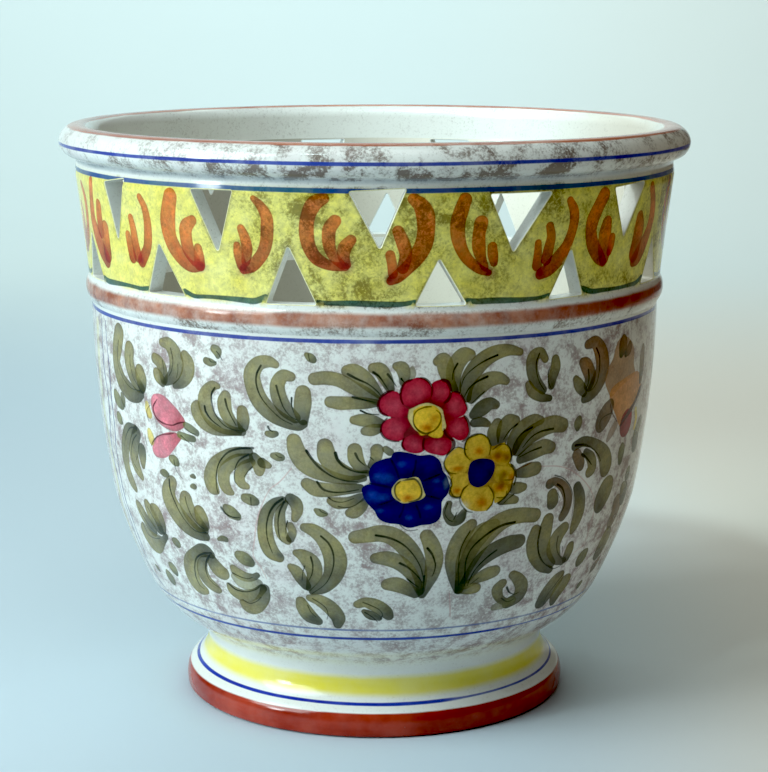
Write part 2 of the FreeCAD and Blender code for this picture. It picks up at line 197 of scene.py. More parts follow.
        ("D", "stroke", ((-61.3, 57.5, 2), (-60.4, 56.6, 3), (-59.9, 55.6, 1.5),)),
        ("D", "stroke", ((-52.3, 61.7, 2.9), (-51.5, 60.2, 5.3), (-51, 57.9, 2.9),)),
        ("D", "stroke", ((-55.2, 57.7, 2.9), (-54.8, 55.1, 5.9), (-54.7, 52.7, 3.4),)),
        ("D", "stroke", ((-28.8, 72.7, 4.5), (-27.6, 71.8, 6), (-26.4, 70.6, 4.5),)),
    ],
    "c1": [
        ("LR", "stroke", ((-36.1, 71.1, 3.9), (-37.9, 72.2, 5.9), (-40.9, 70.2, 4.7), (-43.4, 65.6, 7), (-44.4, 59.9, 8), (-43.7, 56, 7.7), (-41.5, 54.7, 4.3),)),
        ("LR", "stroke", ((-37.5, 69.9, 2.3), (-39.4, 66.9, 4.2), (-40.3, 62.9, 5.7), (-39.8, 59.4, 6.1), (-38, 57.1, 5.3), (-36.7, 56.4, 2.5),)),
        ("LR", "stroke", ((-36.1, 69.9, 3.8), (-36.2, 67.9, 5.8), (-35.5, 65.6, 7.2), (-34.4, 64.3, 6.4), (-33.4, 65.4, 3.3),)),
        ("K", "spot", (-36.5, 70.6, 1.9)),
        ("V", "line", ((-36.03, 71.7), (-38.44, 70.8), (-41.11, 68), (-42.6, 63.8), (-43.33, 59.5), (-42.97, 56.3), (-41.7, 55),), 1.16),
        ("V", "line", ((-36.81, 70.5), (-38.21, 67.7), (-39.13, 64.1), (-39.17, 60.8), (-38.2, 58.7), (-36.72, 57.5),), 0.96),
    ],
    "c2": [
        ("L", "stroke", ((-31, 67.3, 3.3), (-30.2, 65.5, 4.9), (-28.4, 64.3, 4.5), (-26.4, 64.6, 3), (-25.2, 65.8, 2.3),)),
        ("LL", "stroke", ((-31.3, 63.6, 3.4), (-29.9, 61.5, 4.9), (-27.4, 60.8, 4.3), (-25.2, 62.6, 3.3),)),
        ("L", "stroke", ((-33.5, 59.7, 2.4), (-32.5, 57.2, 5.3), (-30.1, 56, 5.8), (-26.9, 57.6, 4.5), (-24.5, 60.7, 3.4),)),
        ("L", "stroke", ((-31, 52.8, 3.6), (-29.7, 51, 5.7), (-27.4, 52.1, 5.5), (-24.9, 56.4, 4.8), (-24, 60.8, 3.6),)),
        ("K", "spot", (-24.9, 64.7, 1.8)),
        ("K", "spot", (-24.3, 62, 2.1)),
        ("V", "line", ((-31.59, 65.1), (-29.95, 64.1), (-28.01, 63.6), (-26.39, 64.6),), 0.77),
        ("V", "line", ((-33.45, 60.1), (-31.81, 58.1), (-29.19, 57.9), (-26.65, 59.4), (-24.81, 61.9),), 0.96),
        ("V", "line", ((-30.69, 54.2), (-29.29, 53.1), (-27.24, 54.2), (-25.43, 56.7),), 0.77),
    ],
    "e3": [
        ("LR", "stroke", ((-17.6, 96.1, 2.9), (-19.3, 94.6, 3.8), (-20.9, 91.2, 5), (-21.7, 86.5, 5.8), (-21.8, 81.2, 6.5), (-21.1, 76.3, 6.7), (-19.5, 74, 4.5),)),
        ("K", "spot", (-19.1, 75, 1.9)),
        ("LR", "stroke", ((-17, 95.1, 2.1), (-18.2, 91.6, 3.6), (-18.5, 87, 4.6), (-18.2, 82.9, 4.4), (-17.2, 80.8, 3.3),)),
        ("LR", "stroke", ((-16, 96.7, 4.3), (-15, 95.1, 5), (-14.8, 92.4, 4.3), (-15.4, 89.3, 2.8),)),
        ("L", "stroke", ((-16.4, 86.6, 3.1), (-16, 84.4, 3.3), (-16.6, 81.6, 3.2),)),
        ("K", "spot", (-16.8, 96.6, 1.7)),
        ("V", "line", ((-17.6, 96.5), (-19.34, 94), (-20.66, 90.4), (-21.43, 85.8), (-21.49, 80.9), (-20.81, 75.5),), 1.16),
        ("V", "line", ((-17.33, 95.4), (-18.41, 91.5), (-18.93, 87), (-18.85, 82.1), (-18.22, 79.9),), 0.96),
        ("V", "line", ((-16.89, 88.4), (-17.32, 85.7), (-17.43, 83),), 0.77),
    ],
    "e4": [
        ("L", "stroke", ((-13.5, 86.3, 3.5), (-11.7, 85.4, 5.1), (-9.8, 82.7, 6.2), (-8.2, 78.6, 8), (-7.6, 73.6, 8.4), (-8.4, 67.9, 7.1), (-10.6, 63.3, 5.4), (-13.2, 60.9, 2.5),)),
        ("L", "stroke", ((-15.6, 76.3, 3), (-14.2, 75.5, 5.2), (-12.8, 73.1, 7), (-12.2, 69.2, 6), (-12.9, 65.5, 4.2), (-13.9, 62.1, 2.1),)),
        ("L", "stroke", ((-17.1, 70.6, 3.1), (-16.1, 69.1, 4.8), (-15.2, 66, 4.8), (-14.3, 63.3, 3.9),)),
        ("K", "spot", (-14.8, 65.6, 1.8)),
        ("K", "spot", (-14.1, 62.9, 2.2)),
        ("V", "line", ((-10.28, 83.4), (-8.85, 80.9), (-8.05, 77.5), (-7.99, 73.1), (-8.79, 68.3), (-10.36, 64.1), (-13.22, 60.3),), 0.96),
        ("V", "line", ((-12.64, 75.1), (-12.38, 72), (-12.67, 68.7), (-13.5, 65.8),), 0.96),
        ("V", "line", ((-14.11, 71.4), (-14.72, 68.5), (-15.03, 65.6),), 0.77),
    ],
    "f1": [
        ("L", "stroke", ((-16, 57, 3.9), (-15.6, 53.9, 5.8), (-14.5, 50.6, 6.3), (-12.8, 48.7, 4),)),
        ("L", "stroke", ((-13.8, 58.4, 3.3), (-11.8, 57.7, 5.2), (-9.6, 55, 6.3), (-8, 50.9, 5.7), (-8.2, 47.4, 3.3),)),
        ("K", "spot", (-14.1, 49.8, 2)),
        ("K", "spot", (-10.2, 48.5, 2.5)),
        ("V", "line", ((-13.26, 58.2), (-11.7, 56.5), (-10.48, 54.5), (-10.19, 52), (-10.6, 49.4),), 0.77),
        ("V", "line", ((-14.63, 55.3), (-14.07, 52.4), (-13.08, 50.4),), 0.58),
    ],
    "f2": [
        ("L", "stroke", ((-3.3, 56.6, 3.6), (-1.6, 57.5, 4.6), (0.6, 56.2, 5.7), (2.6, 53.6, 5.4), (3.5, 51.5, 3.6),)),
        ("LD", "stroke", ((-2, 53.7, 2.2), (-0.5, 52, 4.1), (1.3, 50.7, 2.3),)),
        ("V", "line", ((-2.2, 57.5), (-0.48, 56.2), (1.28, 54.5), (2.06, 52.4), (1.74, 50.7),), 0.77),
        ("V", "line", ((-1.83, 53.3), (-0.06, 51.1), (1.07, 49),), 0.77),
    ],
    "g1": [
        ("L", "stroke", ((-10.7, 140.2, 4.5), (-8.7, 140.7, 4.9), (-6.3, 140.1, 4.9), (-3.8, 137.7, 4.9), (-1.3, 135.3, 4.9), (0.9, 132.8, 3.1),)),
        ("L", "stroke", ((-4.7, 143.3, 4.2), (-3.4, 142.9, 5.9), (-1.6, 140.5, 5.9), (0, 137.4, 4.5), (1.4, 134.6, 2.4),)),
        ("L", "stroke", ((0, 144.3, 3.8), (1.3, 143.6, 5.2), (2.3, 140.5, 4.8), (3.1, 137, 3.1),)),
        ("L", "stroke", ((4.1, 145, 2.8), (5.2, 144.2, 4.8), (5.6, 141.4, 4.1), (5.4, 139.3, 2.8),)),
        ("LL", "stroke", ((7, 144.1, 1.7), (7.2, 142.4, 2.1), (7, 140.3, 1.4),)),
        ("L", "stroke", ((-7.8, 132.3, 4.2), (-6, 132, 4.9), (-3.8, 132.1, 4.6), (-1.5, 132.1, 4.2), (0.9, 132.1, 2.5),)),
        ("L", "stroke", ((-3.5, 126.1, 3.2), (-2, 126.1, 4.6), (-0.2, 125.8, 4.6), (1.4, 125, 3.2),)),
        ("L", "stroke", ((-1.5, 122.2, 3.2), (-0.2, 122.6, 4.3), (1.2, 123.3, 3.2),)),
        ("K", "spot", (1.2, 132.1, 1.4)),
        ("V", "line", ((-4.57, 142.2), (-2.87, 140.5), (-0.9, 138.8), (0.71, 136.3), (1.61, 134.2),), 1.16),
        ("V", "line", ((0.01, 142.9), (1.08, 141.4), (2.07, 138.7), (2.7, 136.8),), 1.16),
        ("V", "line", ((2.61, 142.2), (3.24, 140.6), (4.14, 138),), 1.16),
        ("V", "line", ((-3.71, 134.2), (-1.82, 133.3), (0.53, 132.3),), 1.16),
        ("V", "line", ((-2.29, 129.5), (-0.93, 128.4), (1.06, 128.1),), 0.96),
        ("V", "line", ((5.04, 140.6), (5.58, 139.3),), 0.96),
    ],
    "j1": [
        ("L", "stroke", ((27.8, 147.9, 2.8), (25.3, 149, 4.2), (22.6, 148.3, 5.5), (20.1, 145.8, 6.3), (18.2, 141.8, 6.4), (17.1, 137.1, 5.2), (17.3, 132.8, 2.9),)),
        ("L", "stroke", ((17.8, 148.2, 3.9), (16.4, 148, 5.8), (15.1, 145, 6.2), (14.6, 140.5, 5.3), (15.2, 135.9, 3.5),)),
        ("L", "stroke", ((11.6, 146.3, 3.5), (12.7, 146.6, 5.5), (13.2, 143.4, 5.9), (13.8, 139.5, 4.2), (15, 135.9, 2.4),)),
        ("L", "stroke", ((25, 138.1, 3.1), (23.3, 139.4, 4.6), (21.1, 138.7, 6), (19.4, 136.1, 5.7), (18.1, 132.7, 3.8),)),
        ("LD", "stroke", ((23.1, 129.9, 3.2), (21.7, 130.5, 4.8), (20.1, 128.9, 5.7), (18.6, 127, 3.4),)),
        ("LD", "stroke", ((21.6, 123.3, 2.4), (20.4, 124.2, 3.6), (18.8, 124.1, 3.3),)),
        ("K", "spot", (16.9, 132.1, 1.8)),
        ("V", "line", ((23.04, 147.5), (20.67, 145.9), (18.36, 143.4), (16.66, 140.3), (16.03, 136.8),), 0.96),
        ("V", "line", ((15.3, 145.3), (14.56, 142.6), (14.4, 139.8),), 0.96),
        ("V", "line", ((21.13, 140.2), (19.18, 138.7), (17.66, 136.6), (16.74, 133.6),), 1.16),
        ("V", "line", ((20.61, 134.9), (19.45, 133.2), (18.12, 130.9),), 0.77),
    ],
    "j2": [
        ("L", "stroke", ((23.5, 123.4, 4), (22.9, 120.3, 5.2), (22.8, 116.3, 4.3),)),
        ("L", "stroke", ((27.5, 123.8, 3.4), (25.8, 123.4, 5.7), (24.8, 120.3, 5.3), (24.7, 116.3, 3.6),)),
        ("L", "stroke", ((33.1, 122.6, 3.4), (31.3, 122.7, 5.3), (29.1, 120.6, 6.4), (27.5, 116.9, 6.4), (27, 112.6, 4.2),)),
        ("L", "stroke", ((38.9, 119.5, 5.5), (35.8, 120.6, 6.7), (32.5, 119.1, 6.8), (29.9, 116.4, 6.5), (28.1, 112.4, 4.3),)),
        ("L", "stroke", ((36.3, 112, 4.5), (34.1, 112.6, 6.1), (31.5, 111.3, 5.9), (28.9, 109.3, 3.8),)),
        ("L", "stroke", ((33, 105.1, 5.3), (30.9, 104.8, 5.7), (28.7, 104.2, 3.6),)),
        ("L", "stroke", ((30.4, 98.7, 3.2), (28.8, 98.7, 4.7), (27.2, 99, 3.4),)),
        ("L", "stroke", ((28.8, 94.2, 3), (26.9, 95, 4.3), (25.4, 94.5, 3.2),)),
        ("K", "spot", (27.9, 110.6, 1.9)),
        ("V", "line", ((27.72, 122.3), (26.08, 120.1), (24.9, 117),), 0.96),
        ("V", "line", ((31.11, 120.5), (28.94, 118.8), (27.52, 115.8), (26.99, 112.6),), 0.96),
        ("V", "line", ((36.16, 118.9), (33.28, 118.6), (31.04, 116.9), (29.16, 113.3),), 1.16),
        ("V", "line", ((33.57, 112.7), (31.28, 111.8), (28.63, 110.1),), 0.96),
        ("VR", "line", ((31.49, 107.5), (29.49, 106.3), (27.74, 105.5),), 0.77),
        ("V", "line", ((28.2, 96.5), (26.94, 95), (26.12, 93.6),), 0.77),
    ],
    "j3": [
        ("L", "stroke", ((33.4, 144.4, 3.1), (32.2, 147.1, 3.8), (30.6, 145.6, 5.1), (30.4, 141.4, 5), (31.3, 137, 4.7), (33.2, 133.4, 3.4),)),
        ("L", "stroke", ((35.7, 144.3, 3.7), (35.8, 141.1, 4.7), (35.2, 137.7, 4.2), (35, 134.5, 3.2),)),
        ("L", "stroke", ((29.7, 136.2, 3.1), (30.7, 133.2, 4), (32.8, 131, 3.5), (34.9, 130.2, 2.5),)),
        ("K", "spot", (35.3, 133.3, 1.4)),
        ("V", "line", ((31.95, 146.8), (31.33, 143.8), (31.41, 140.2), (32.17, 136.5), (33.41, 133.4),), 0.77),
        ("V", "line", ((34.48, 141.4), (34.06, 139.3), (34.26, 136.4), (34.8, 134.2),), 0.77),
    ],
    "h1": [
        ("L", "stroke", ((-14.8, 118, 5.5), (-14.3, 114.1, 6.7), (-13, 110.2, 6.8), (-10.8, 107.5, 6), (-7.8, 105.5, 4.5), (-4.4, 104.5, 3.3), (-1.8, 105.3, 2.6),)),
        ("L", "stroke", ((-8.9, 116.6, 5.7), (-8.6, 113.1, 6.8), (-7.5, 109.9, 6.2), (-5.5, 107.4, 5.5), (-3.1, 106.4, 3.7), (-1.2, 107.1, 2.5),)),
        ("L", "stroke", ((-3.4, 115.4, 5.2), (-3.2, 112.2, 5.6), (-2.3, 109.3, 4.3), (-1, 108.2, 2.5),)),
        ("L", "stroke", ((0.7, 115.4, 4.8), (0.5, 112.5, 3.8), (-0.3, 110, 2.8),)),
        ("D", "stroke", ((2.3, 115.8, 2.5), (3.1, 114.7, 2.8),)),
        ("L", "stroke", ((-12.6, 102.6, 4.6), (-10.9, 100.9, 5.7), (-8.4, 100.7, 5.2), (-5.6, 101.2, 4.4), (-2.5, 101.6, 3.3),)),
        ("L", "stroke", ((-8.1, 96.7, 3), (-6.8, 96, 4.5), (-4.7, 96.4, 4.1), (-2.4, 98.3, 3.3),)),
        ("L", "stroke", ((-4.5, 92.4, 3.4), (-3.6, 92.8, 4.8), (-2.2, 94.7, 3.9), (-1.4, 97.2, 2.8),)),
        ("V", "line", ((-12.46, 114.6), (-11.47, 111.8), (-10.01, 108.6), (-7.78, 105.8), (-5.34, 104.3), (-2.9, 104),), 1.35),
        ("V", "line", ((-7, 114.2), (-6.57, 111.7), (-5.29, 109.2), (-3.25, 107.6), (-1.2, 107.5),), 1.54),
        ("V", "line", ((-3.29, 114.2), (-2.66, 111.8), (-1.37, 109.7),), 1.16),
        ("V", "line", ((-0.53, 112.9), (0.12, 111.8),), 0.77),
        ("V", "line", ((-10.59, 103.5), (-9.58, 101), (-7.87, 100), (-5.58, 100.1), (-2.73, 101.1),), 1.16),
        ("V", "line", ((-8.58, 98.1), (-7.54, 96.7), (-5.82, 96.4), (-3.71, 97.8),), 0.77),
        ("V", "line", ((-6.62, 94.7), (-5.08, 94.4), (-3.54, 95.2), (-2.39, 96.9),), 0.77),
    ],
    "h1d": [
        ("D", "stroke", ((-11.1, 93.1, 1.6), (-10.2, 92.1, 3.1), (-9.2, 91.8, 1.9),)),
        ("V", "line", ((-10.42, 93.5), (-9.96, 92.5), (-8.8, 91.8),), 0.77),
    ],
    "h2": [
        ("L", "stroke", ((-3.5, 83.4, 5), (-1.1, 84.2, 5.7), (1.6, 84.9, 6.5), (4.3, 83.3, 7), (6.8, 79, 7.2), (8.7, 73.4, 6.7), (9.8, 67.3, 5), (10.1, 61.9, 3.2),)),
        ("L", "stroke", ((10.5, 83.7, 4.9), (11.6, 79.8, 6), (12.4, 74.6, 6.5), (12.2, 69, 5.8), (11.4, 64.3, 4.4), (10.5, 60.2, 3.3),)),
        ("L", "stroke", ((0.6, 75.4, 4.5), (2.8, 75.3, 6.1), (5.1, 73.6, 5.9), (7.2, 70.3, 5.2), (9, 65.3, 3.9), (10, 61.1, 2.8),)),
        ("L", "stroke", ((3.1, 64.9, 5.2), (4.8, 64.8, 6.4), (7, 63, 5.4), (9, 60.8, 4.1),)),
        ("K", "spot", (10, 61.1, 2.5)),
        ("V", "line", ((0.54, 84.2), (3.17, 83.2), (5.75, 80.8), (7.82, 77), (9.61, 71.7), (10.57, 66),), 1.16),
        ("V", "line", ((5.37, 73.4), (7.14, 71.5), (9.11, 68.1), (10.29, 65.2),), 1.16),
        ("V", "line", ((7.06, 66.9), (8.38, 65), (9.73, 63.2),), 0.96),
        ("V", "line", ((10.79, 78.9), (11.91, 76.2), (12.71, 72.2), (12.55, 69), (12.1, 67.4),), 1.16),
        ("V", "line", ((10.59, 68), (10.66, 61.9),), 0.96),
    ],
    "k1": [
        ("L", "stroke", ((19.6, 87, 4.1), (18, 83.5, 6.1), (16.8, 78.3, 6.9), (16.3, 72.5, 5.7), (17.1, 66.3, 4.4), (18.3, 60.8, 2.9),)),
        ("L", "stroke", ((24.6, 86.1, 4.3), (21.9, 83.2, 7.3), (20, 78.6, 7.3), (18.9, 72.9, 6.6), (18.7, 66.5, 4.9), (18.5, 60.8, 3.3),)),
        ("L", "stroke", ((34.1, 87.2, 5.6), (30.6, 88.1, 6.1), (27.4, 87.7, 6.9), (24.4, 85, 7.8), (21.8, 80.2, 8.3), (20.1, 74.2, 7.4), (19, 67.6, 5.5), (18.7, 60.7, 3.3),)),
        ("LD", "stroke", ((30.9, 78.1, 6), (28.1, 77.6, 7), (25.3, 75.9, 7.1), (22.6, 72.5, 6.1), (20.8, 68.1, 4.6), (19.2, 62.7, 3.2),)),
        ("L", "stroke", ((26.2, 67.3, 5.4), (24.4, 66.5, 5.9), (22.2, 65, 4.4), (19.9, 62.6, 3.4),)),
        ("L", "stroke", ((22.4, 61.2, 4.8), (20.8, 61.2, 5.1), (18.9, 61.5, 4.1),)),
        ("K", "spot", (18.2, 61.6, 2.5)),
        ("V", "line", ((19.34, 84.4), (17.97, 79.7), (17.59, 73.9), (17.88, 68.2), (18.32, 62.9),), 0.77),
        ("V", "line", ((29.1, 85.8), (26.38, 85.3), (23.4, 82.9), (20.4, 78.5), (19.23, 73.6), (19.34, 68), (19.71, 62.6),), 1.35),
        ("V", "line", ((25.75, 75.8), (23.91, 73.5), (21.79, 69.5), (20.79, 65.7), (20.41, 62.5),), 0.96),
        ("V", "line", ((22.67, 65.3), (20.84, 62.8),), 0.58),
    ],
    "k1l": [
        ("LD", "stroke", ((14.6, 95.2, 2.6), (14.3, 91.9, 3.2), (15.4, 88.8, 4), (17, 89.3, 4), (17.7, 91.8, 2.4),)),
        ("V", "line", ((14.36, 95.6), (13.86, 91.9), (14.74, 89.2), (15.78, 88.3),), 0.77),
        ("V", "line", ((16.28, 91.6), (15.75, 89.1),), 0.77),
    ],
    "n1": [
        ("L", "stroke", ((28.9, 61.8, 4.3), (28, 59.5, 4.8), (29.2, 55.5, 3.6), (31.9, 52.6, 3.1),)),
        ("L", "stroke", ((31, 64.9, 3.6), (32.7, 62.8, 4.7), (34.5, 59, 5.8), (34.5, 54.8, 6.2), (31.9, 52.6, 5.4),)),
        ("LL", "stroke", ((28.5, 51.8, 3.4), (30.5, 52.6, 4.6), (32.9, 53.2, 4.7),)),
        ("V", "line", ((30.43, 59.7), (31.51, 57.3), (33.13, 56.1), (34.39, 56.7),), 1.16),
        ("V", "line", ((29.75, 55.3), (31.76, 53.3), (33.55, 54),), 0.77),
    ],
    "n2": [
        ("L", "stroke", ((46.6, 60.3, 4), (45.4, 57.4, 7.9), (44.1, 53.7, 8.6), (43, 49.1, 7),)),
        ("L", "stroke", ((49.5, 57.1, 7.2), (48.5, 53.8, 8), (47.8, 50.7, 6.2), (48.1, 47.2, 3.6),)),
        ("V", "line", ((47.63, 60.3), (45.83, 56), (44.47, 52.7), (44.2, 49.5), (44.47, 46.8),), 0.77),
    ],
    "n3": [
        ("L", "stroke", ((34.6, 81.8, 4.5), (34.3, 77.2, 5.4), (35.4, 71.7, 5.2), (38.4, 65.9, 4), (42.1, 63.1, 3.2),)),
        ("L", "stroke", ((37.6, 85.1, 5.3), (37.3, 81, 6.3), (37.5, 75.8, 6.2), (39, 70.2, 5.3), (42.1, 65.5, 3.5),)),
        ("L", "stroke", ((42.8, 80.1, 5.6), (41.2, 77, 6.9), (40.9, 72.4, 6.8), (43, 67.3, 4.4), (45.7, 65.5, 3.4),)),
        ("L", "stroke", ((46.3, 72.1, 4.3), (46.4, 69.3, 5.1), (46.2, 66.1, 4.5),)),
        ("V", "line", ((35.82, 82.2), (35.84, 76.7), (37, 71.2), (39.41, 66.8), (42.57, 63.7), (45.09, 64.1), (45.97, 67),), 0.96),
        ("V", "line", ((41.38, 77), (41.64, 73.3), (42.87, 69.7), (45.1, 66.5),), 0.77),
        ("V", "line", ((43.71, 72.2), (44.42, 69.2),), 0.58),
    ],
    "k2": [
        ("LR", "stroke", ((44.5, 95.5, 4.3), (46, 90.5, 6), (46.5, 85, 6.5), (45.9, 80.2, 5.3), (45.5, 77.2, 2.8),)),
        ("LB", "stroke", ((36.5, 98.3, 4.1), (38.2, 98.9, 3.3), (40.7, 95.9, 4.2), (42.3, 91.3, 4.8), (42.2, 87.1, 4.7), (41.3, 84.3, 4.1),)),
        ("L", "stroke", ((37.6, 94.6, 4.8), (38.1, 91.4, 5.6), (37.7, 90, 4.2),)),
        ("K", "spot", (35.8, 97.7, 1.2)),
        ("K", "spot", (37.3, 97.7, 1.4)),
        ("V", "line", ((37.8, 101.3), (40.07, 99.7), (42.37, 96.2), (43.95, 91.2), (44.37, 86.4), (44.46, 83.3),), 0.77),
        ("V", "line", ((38.76, 97.6), (40.3, 95.7), (41.37, 92), (41.56, 88.9), (40.97, 86.4),), 1.16),
        ("V", "line", ((39.17, 94.5), (39.96, 92),), 0.58),
    ],
    "m1": [
        ("LR", "stroke", ((42.2, 110.8, 3.8), (45, 111.9, 4.1), (49, 109.6, 4.3), (52.4, 104.7, 7.2), (53.8, 100.4, 8.5), (53.5, 97.5, 6.3),)),
        ("LB", "stroke", ((43, 108, 4.8), (44.5, 104.2, 5.1), (45, 102.2, 3.9),)),
        ("LR", "stroke", ((45.7, 108, 3.1), (47.9, 104.7, 4.9), (48.7, 101, 5.4), (47.6, 99.1, 4.5),)),
        ("V", "line", ((42.61, 111.1), (45.12, 110.7), (47.82, 108.6), (50.19, 105.4), (51.64, 102.3),), 1.16),
        ("V", "line", ((44.85, 107.1), (46.59, 105.1), (48.35, 102.3),), 1.54),
    ],
    "l1": [
        ("LO", "stroke", ((43.7, 147.6, 3.5), (46.3, 147.8, 5.1), (48.3, 143.3, 7.6), (48.9, 137.7, 8.3), (47.5, 132.9, 7.9), (45.6, 129.4, 5.5), (43.6, 127.8, 3.5),)),
        ("LO", "stroke", ((42.5, 141.8, 3.5), (43.9, 140, 6), (45.2, 136.1, 6.2), (44.8, 132.2, 5.2),)),
        ("L", "stroke", ((41, 136, 3.1), (42.2, 133.2, 4.9), (43.8, 130.3, 4.1),)),
        ("K", "spot", (43.9, 128, 1.5)),
        ("V", "line", ((46.66, 145.7), (47.71, 142.4), (47.9, 137.9), (47.49, 133.7), (46.24, 131.1), (44.94, 130.3),), 0.96),
        ("V", "line", ((44.55, 138.4), (44.86, 134.7), (44.05, 130.6),), 0.96),
    ],
    "l1d": [
        ("D", "stroke", ((42.9, 121, 3.3), (42.7, 119.2, 4.4), (42.7, 117, 2.2),)),
        ("D", "stroke", ((59.9, 105.9, 3.9), (60.1, 103.2, 5.8), (60.2, 98.9, 3.9),)),
    ],
    "rbud": [
        ("BT", "patch", ((52.37, 126.2), (50.59, 130.5), (50.12, 133.4), (50.61, 137), (52.28, 140.3), (53.15, 144.4), (54.14, 146.8), (56.21, 147.9), (58.82, 146.1), (60.66, 143.2), (61.53, 139.4), (61.54, 136.1), (62.56, 132.1), (58.93, 130.3), (55.32, 128.4), (53.63, 126.7),)),
        ("LO", "stroke", ((56.22, 147.5, 4.2), (56.12, 144.5, 6.4), (55.37, 140.8, 3.4),)),
        ("LO", "stroke", ((59.17, 144.7, 3), (58.76, 142.4, 4.4), (57.08, 140.5, 2.4),)),
        ("OB", "patch", ((66.39, 129.8), (66.68, 125.6), (63.15, 120.6), (59.89, 116.7), (57.59, 113.8), (55.1, 118.8), (52.61, 124.5), (52.12, 127.9), (53.46, 130.2), (56.49, 131.5), (60.82, 132.7), (64.18, 132.5),)),
        ("CR", "stroke", ((62.1, 116.6, 7.7), (60.5, 114.1, 10.6), (59.4, 111.8, 8.7),)),
        ("YS", "stroke", ((65, 118.3, 2.4), (66.2, 114, 2.9), (65.8, 109.9, 2.4),)),
        ("LB", "stroke", ((53, 123.7, 5.8), (51.4, 120.4, 8.3), (50, 117.5, 7.5), (49.8, 115.3, 4.1),)),
        ("LF", "stroke", ((55.8, 115.3, 4), (54.1, 112.4, 3.9), (52.9, 109.8, 2.2),)),
        ("LB", "stroke", ((66.5, 141.6, 3.9), (66.3, 137.2, 5.8), (66.4, 131.5, 4.8), (66.3, 127.7, 3.9),)),
        ("L", "stroke", ((70.4, 112.9, 4.9), (67.9, 107.3, 7.8), (68.2, 101.4, 7.9),)),
        ("VC", "line", ((67.26, 126.3), (64.73, 121.8), (62.34, 118.8), (59.21, 116), (57.68, 113.9),), 2.3),
        ("VC", "line", ((52.57, 123.8), (53.66, 120.1), (56.12, 115.9),), 0.62),
        ("V", "line", ((53.66, 120.1), (50.81, 119.5), (49.57, 118), (49.82, 115.3),), 0.62),
    ],
    "redge": [
        ("L", "stroke", ((57.1, 93.1, 6.4), (55.5, 90.3, 10.4), (54.1, 86.5, 9.2), (53.6, 83.2, 5),)),
        ("LB", "stroke", ((62.2, 84.2, 7.8), (63.1, 79.5, 8.8), (62.4, 75.8, 7.8), (62.2, 72.7, 3.9),)),
        ("L", "stroke", ((63.9, 88.6, 4.9), (66.2, 85.4, 7.9), (66.2, 81.4, 6.9),)),
        ("L", "stroke", ((62, 72, 6.9), (62.4, 67.8, 9.8), (61.5, 64.2, 8.8), (59.9, 62, 4.9),)),
        ("D", "stroke", ((66.6, 94.6, 4.9), (66.3, 91.2, 5.9),)),
        ("D", "stroke", ((53.9, 66.8, 3.9), (52.7, 64.5, 6.7), (52.1, 61.9, 3.8),)),
        ("LB", "stroke", ((64.3, 59.7, 4), (62.5, 56.8, 4.9), (61.5, 55.6, 3),)),
        ("D", "stroke", ((58.5, 52.2, 3), (57.4, 50.6, 3.9),)),
    ],
    "scroll": [
        ("VP", "line", ((-15.42, 108.1), (-17.98, 102.7), (-20.15, 99.5), (-22.11, 93.2), (-23.56, 86.6), (-24.42, 79.9), (-25.3, 73.5), (-23.94, 69), (-23.08, 64.3),), 0.5),
        ("VP", "line", ((33.73, 105.7), (38.88, 104.3), (43.37, 100.8), (48.16, 94.4), (51.13, 88.4), (52.04, 83), (51.8, 77.2), (51.73, 70.9), (48.86, 68),), 0.5),
        ("VP", "line", ((16.44, 61.1), (17.77, 49.5),), 0.5),
    ],
    "red": [
        ("RD", "patch", ((3.42, 132.4), (4.86, 135.9), (7.04, 137.2), (10.32, 137.7), (13.31, 135.3), (15.05, 130.9), (15.53, 123.8), (14.65, 118.9), (12.03, 115.9), (7.89, 116.2), (5.28, 118.9), (3.8, 123.2), (3.06, 128.2),)),
        ("RP", "patch", ((4.87, 133.8), (5.04, 137.3), (5.58, 139.3), (6.85, 140.3), (8.12, 141), (9.4, 140.2), (10.32, 138.4), (10.7, 135.9), (10.35, 133.5), (9.25, 132.1), (8.16, 131.5), (7.06, 130.5), (5.78, 131.3), (5.05, 132.7),)),
        ("RP", "patch", ((10.51, 138.4), (11.05, 139.4), (12.34, 140), (13.47, 138.8), (14.05, 136.7), (14.07, 133.8), (13.34, 132.2), (12.42, 130.5), (11.48, 131.3), (10.54, 133.1), (10.7, 135.9),)),
        ("RP", "patch", ((14.06, 135.3), (15.19, 135.3), (16.16, 134), (16.96, 131.4), (17.37, 129.3), (16.83, 127.2), (15.69, 126.3), (14.17, 125.7), (13.02, 126.9), (12.8, 129.4), (13.34, 131.8), (14.08, 133.5),)),
        ("RP", "patch", ((16.83, 126.8), (17.44, 125), (17.9, 121.3), (17.36, 118.9), (16.21, 118), (14.84, 119.2), (13.85, 121.1), (13.25, 123.3), (13.22, 125.8), (14.54, 126), (15.69, 126.3),)),
        ("RP", "patch", ((9.36, 118.6), (10.47, 119.6), (12.36, 119.5), (14.08, 118.9), (14.68, 117.1), (14.34, 114.6), (13.22, 112.9), (11.68, 113.4), (10.16, 114.3), (9.2, 116.1),)),
        ("RP", "patch", ((5.28, 118.5), (6.01, 119.9), (7.3, 120.9), (8.6, 120.5), (9.35, 119.4), (9.19, 116.9), (9.21, 114.7), (7.72, 114.1), (6.22, 114.9), (5.29, 116.4),)),
        ("RP", "patch", ((1.42, 122.6), (1.6, 124.7), (2.52, 126.4), (4.15, 127.1), (5.8, 127), (6.72, 125.6), (6.54, 123.4), (5.63, 121.4), (5.46, 119.2), (4.36, 118.6), (2.7, 119.3), (1.79, 120.8),)),
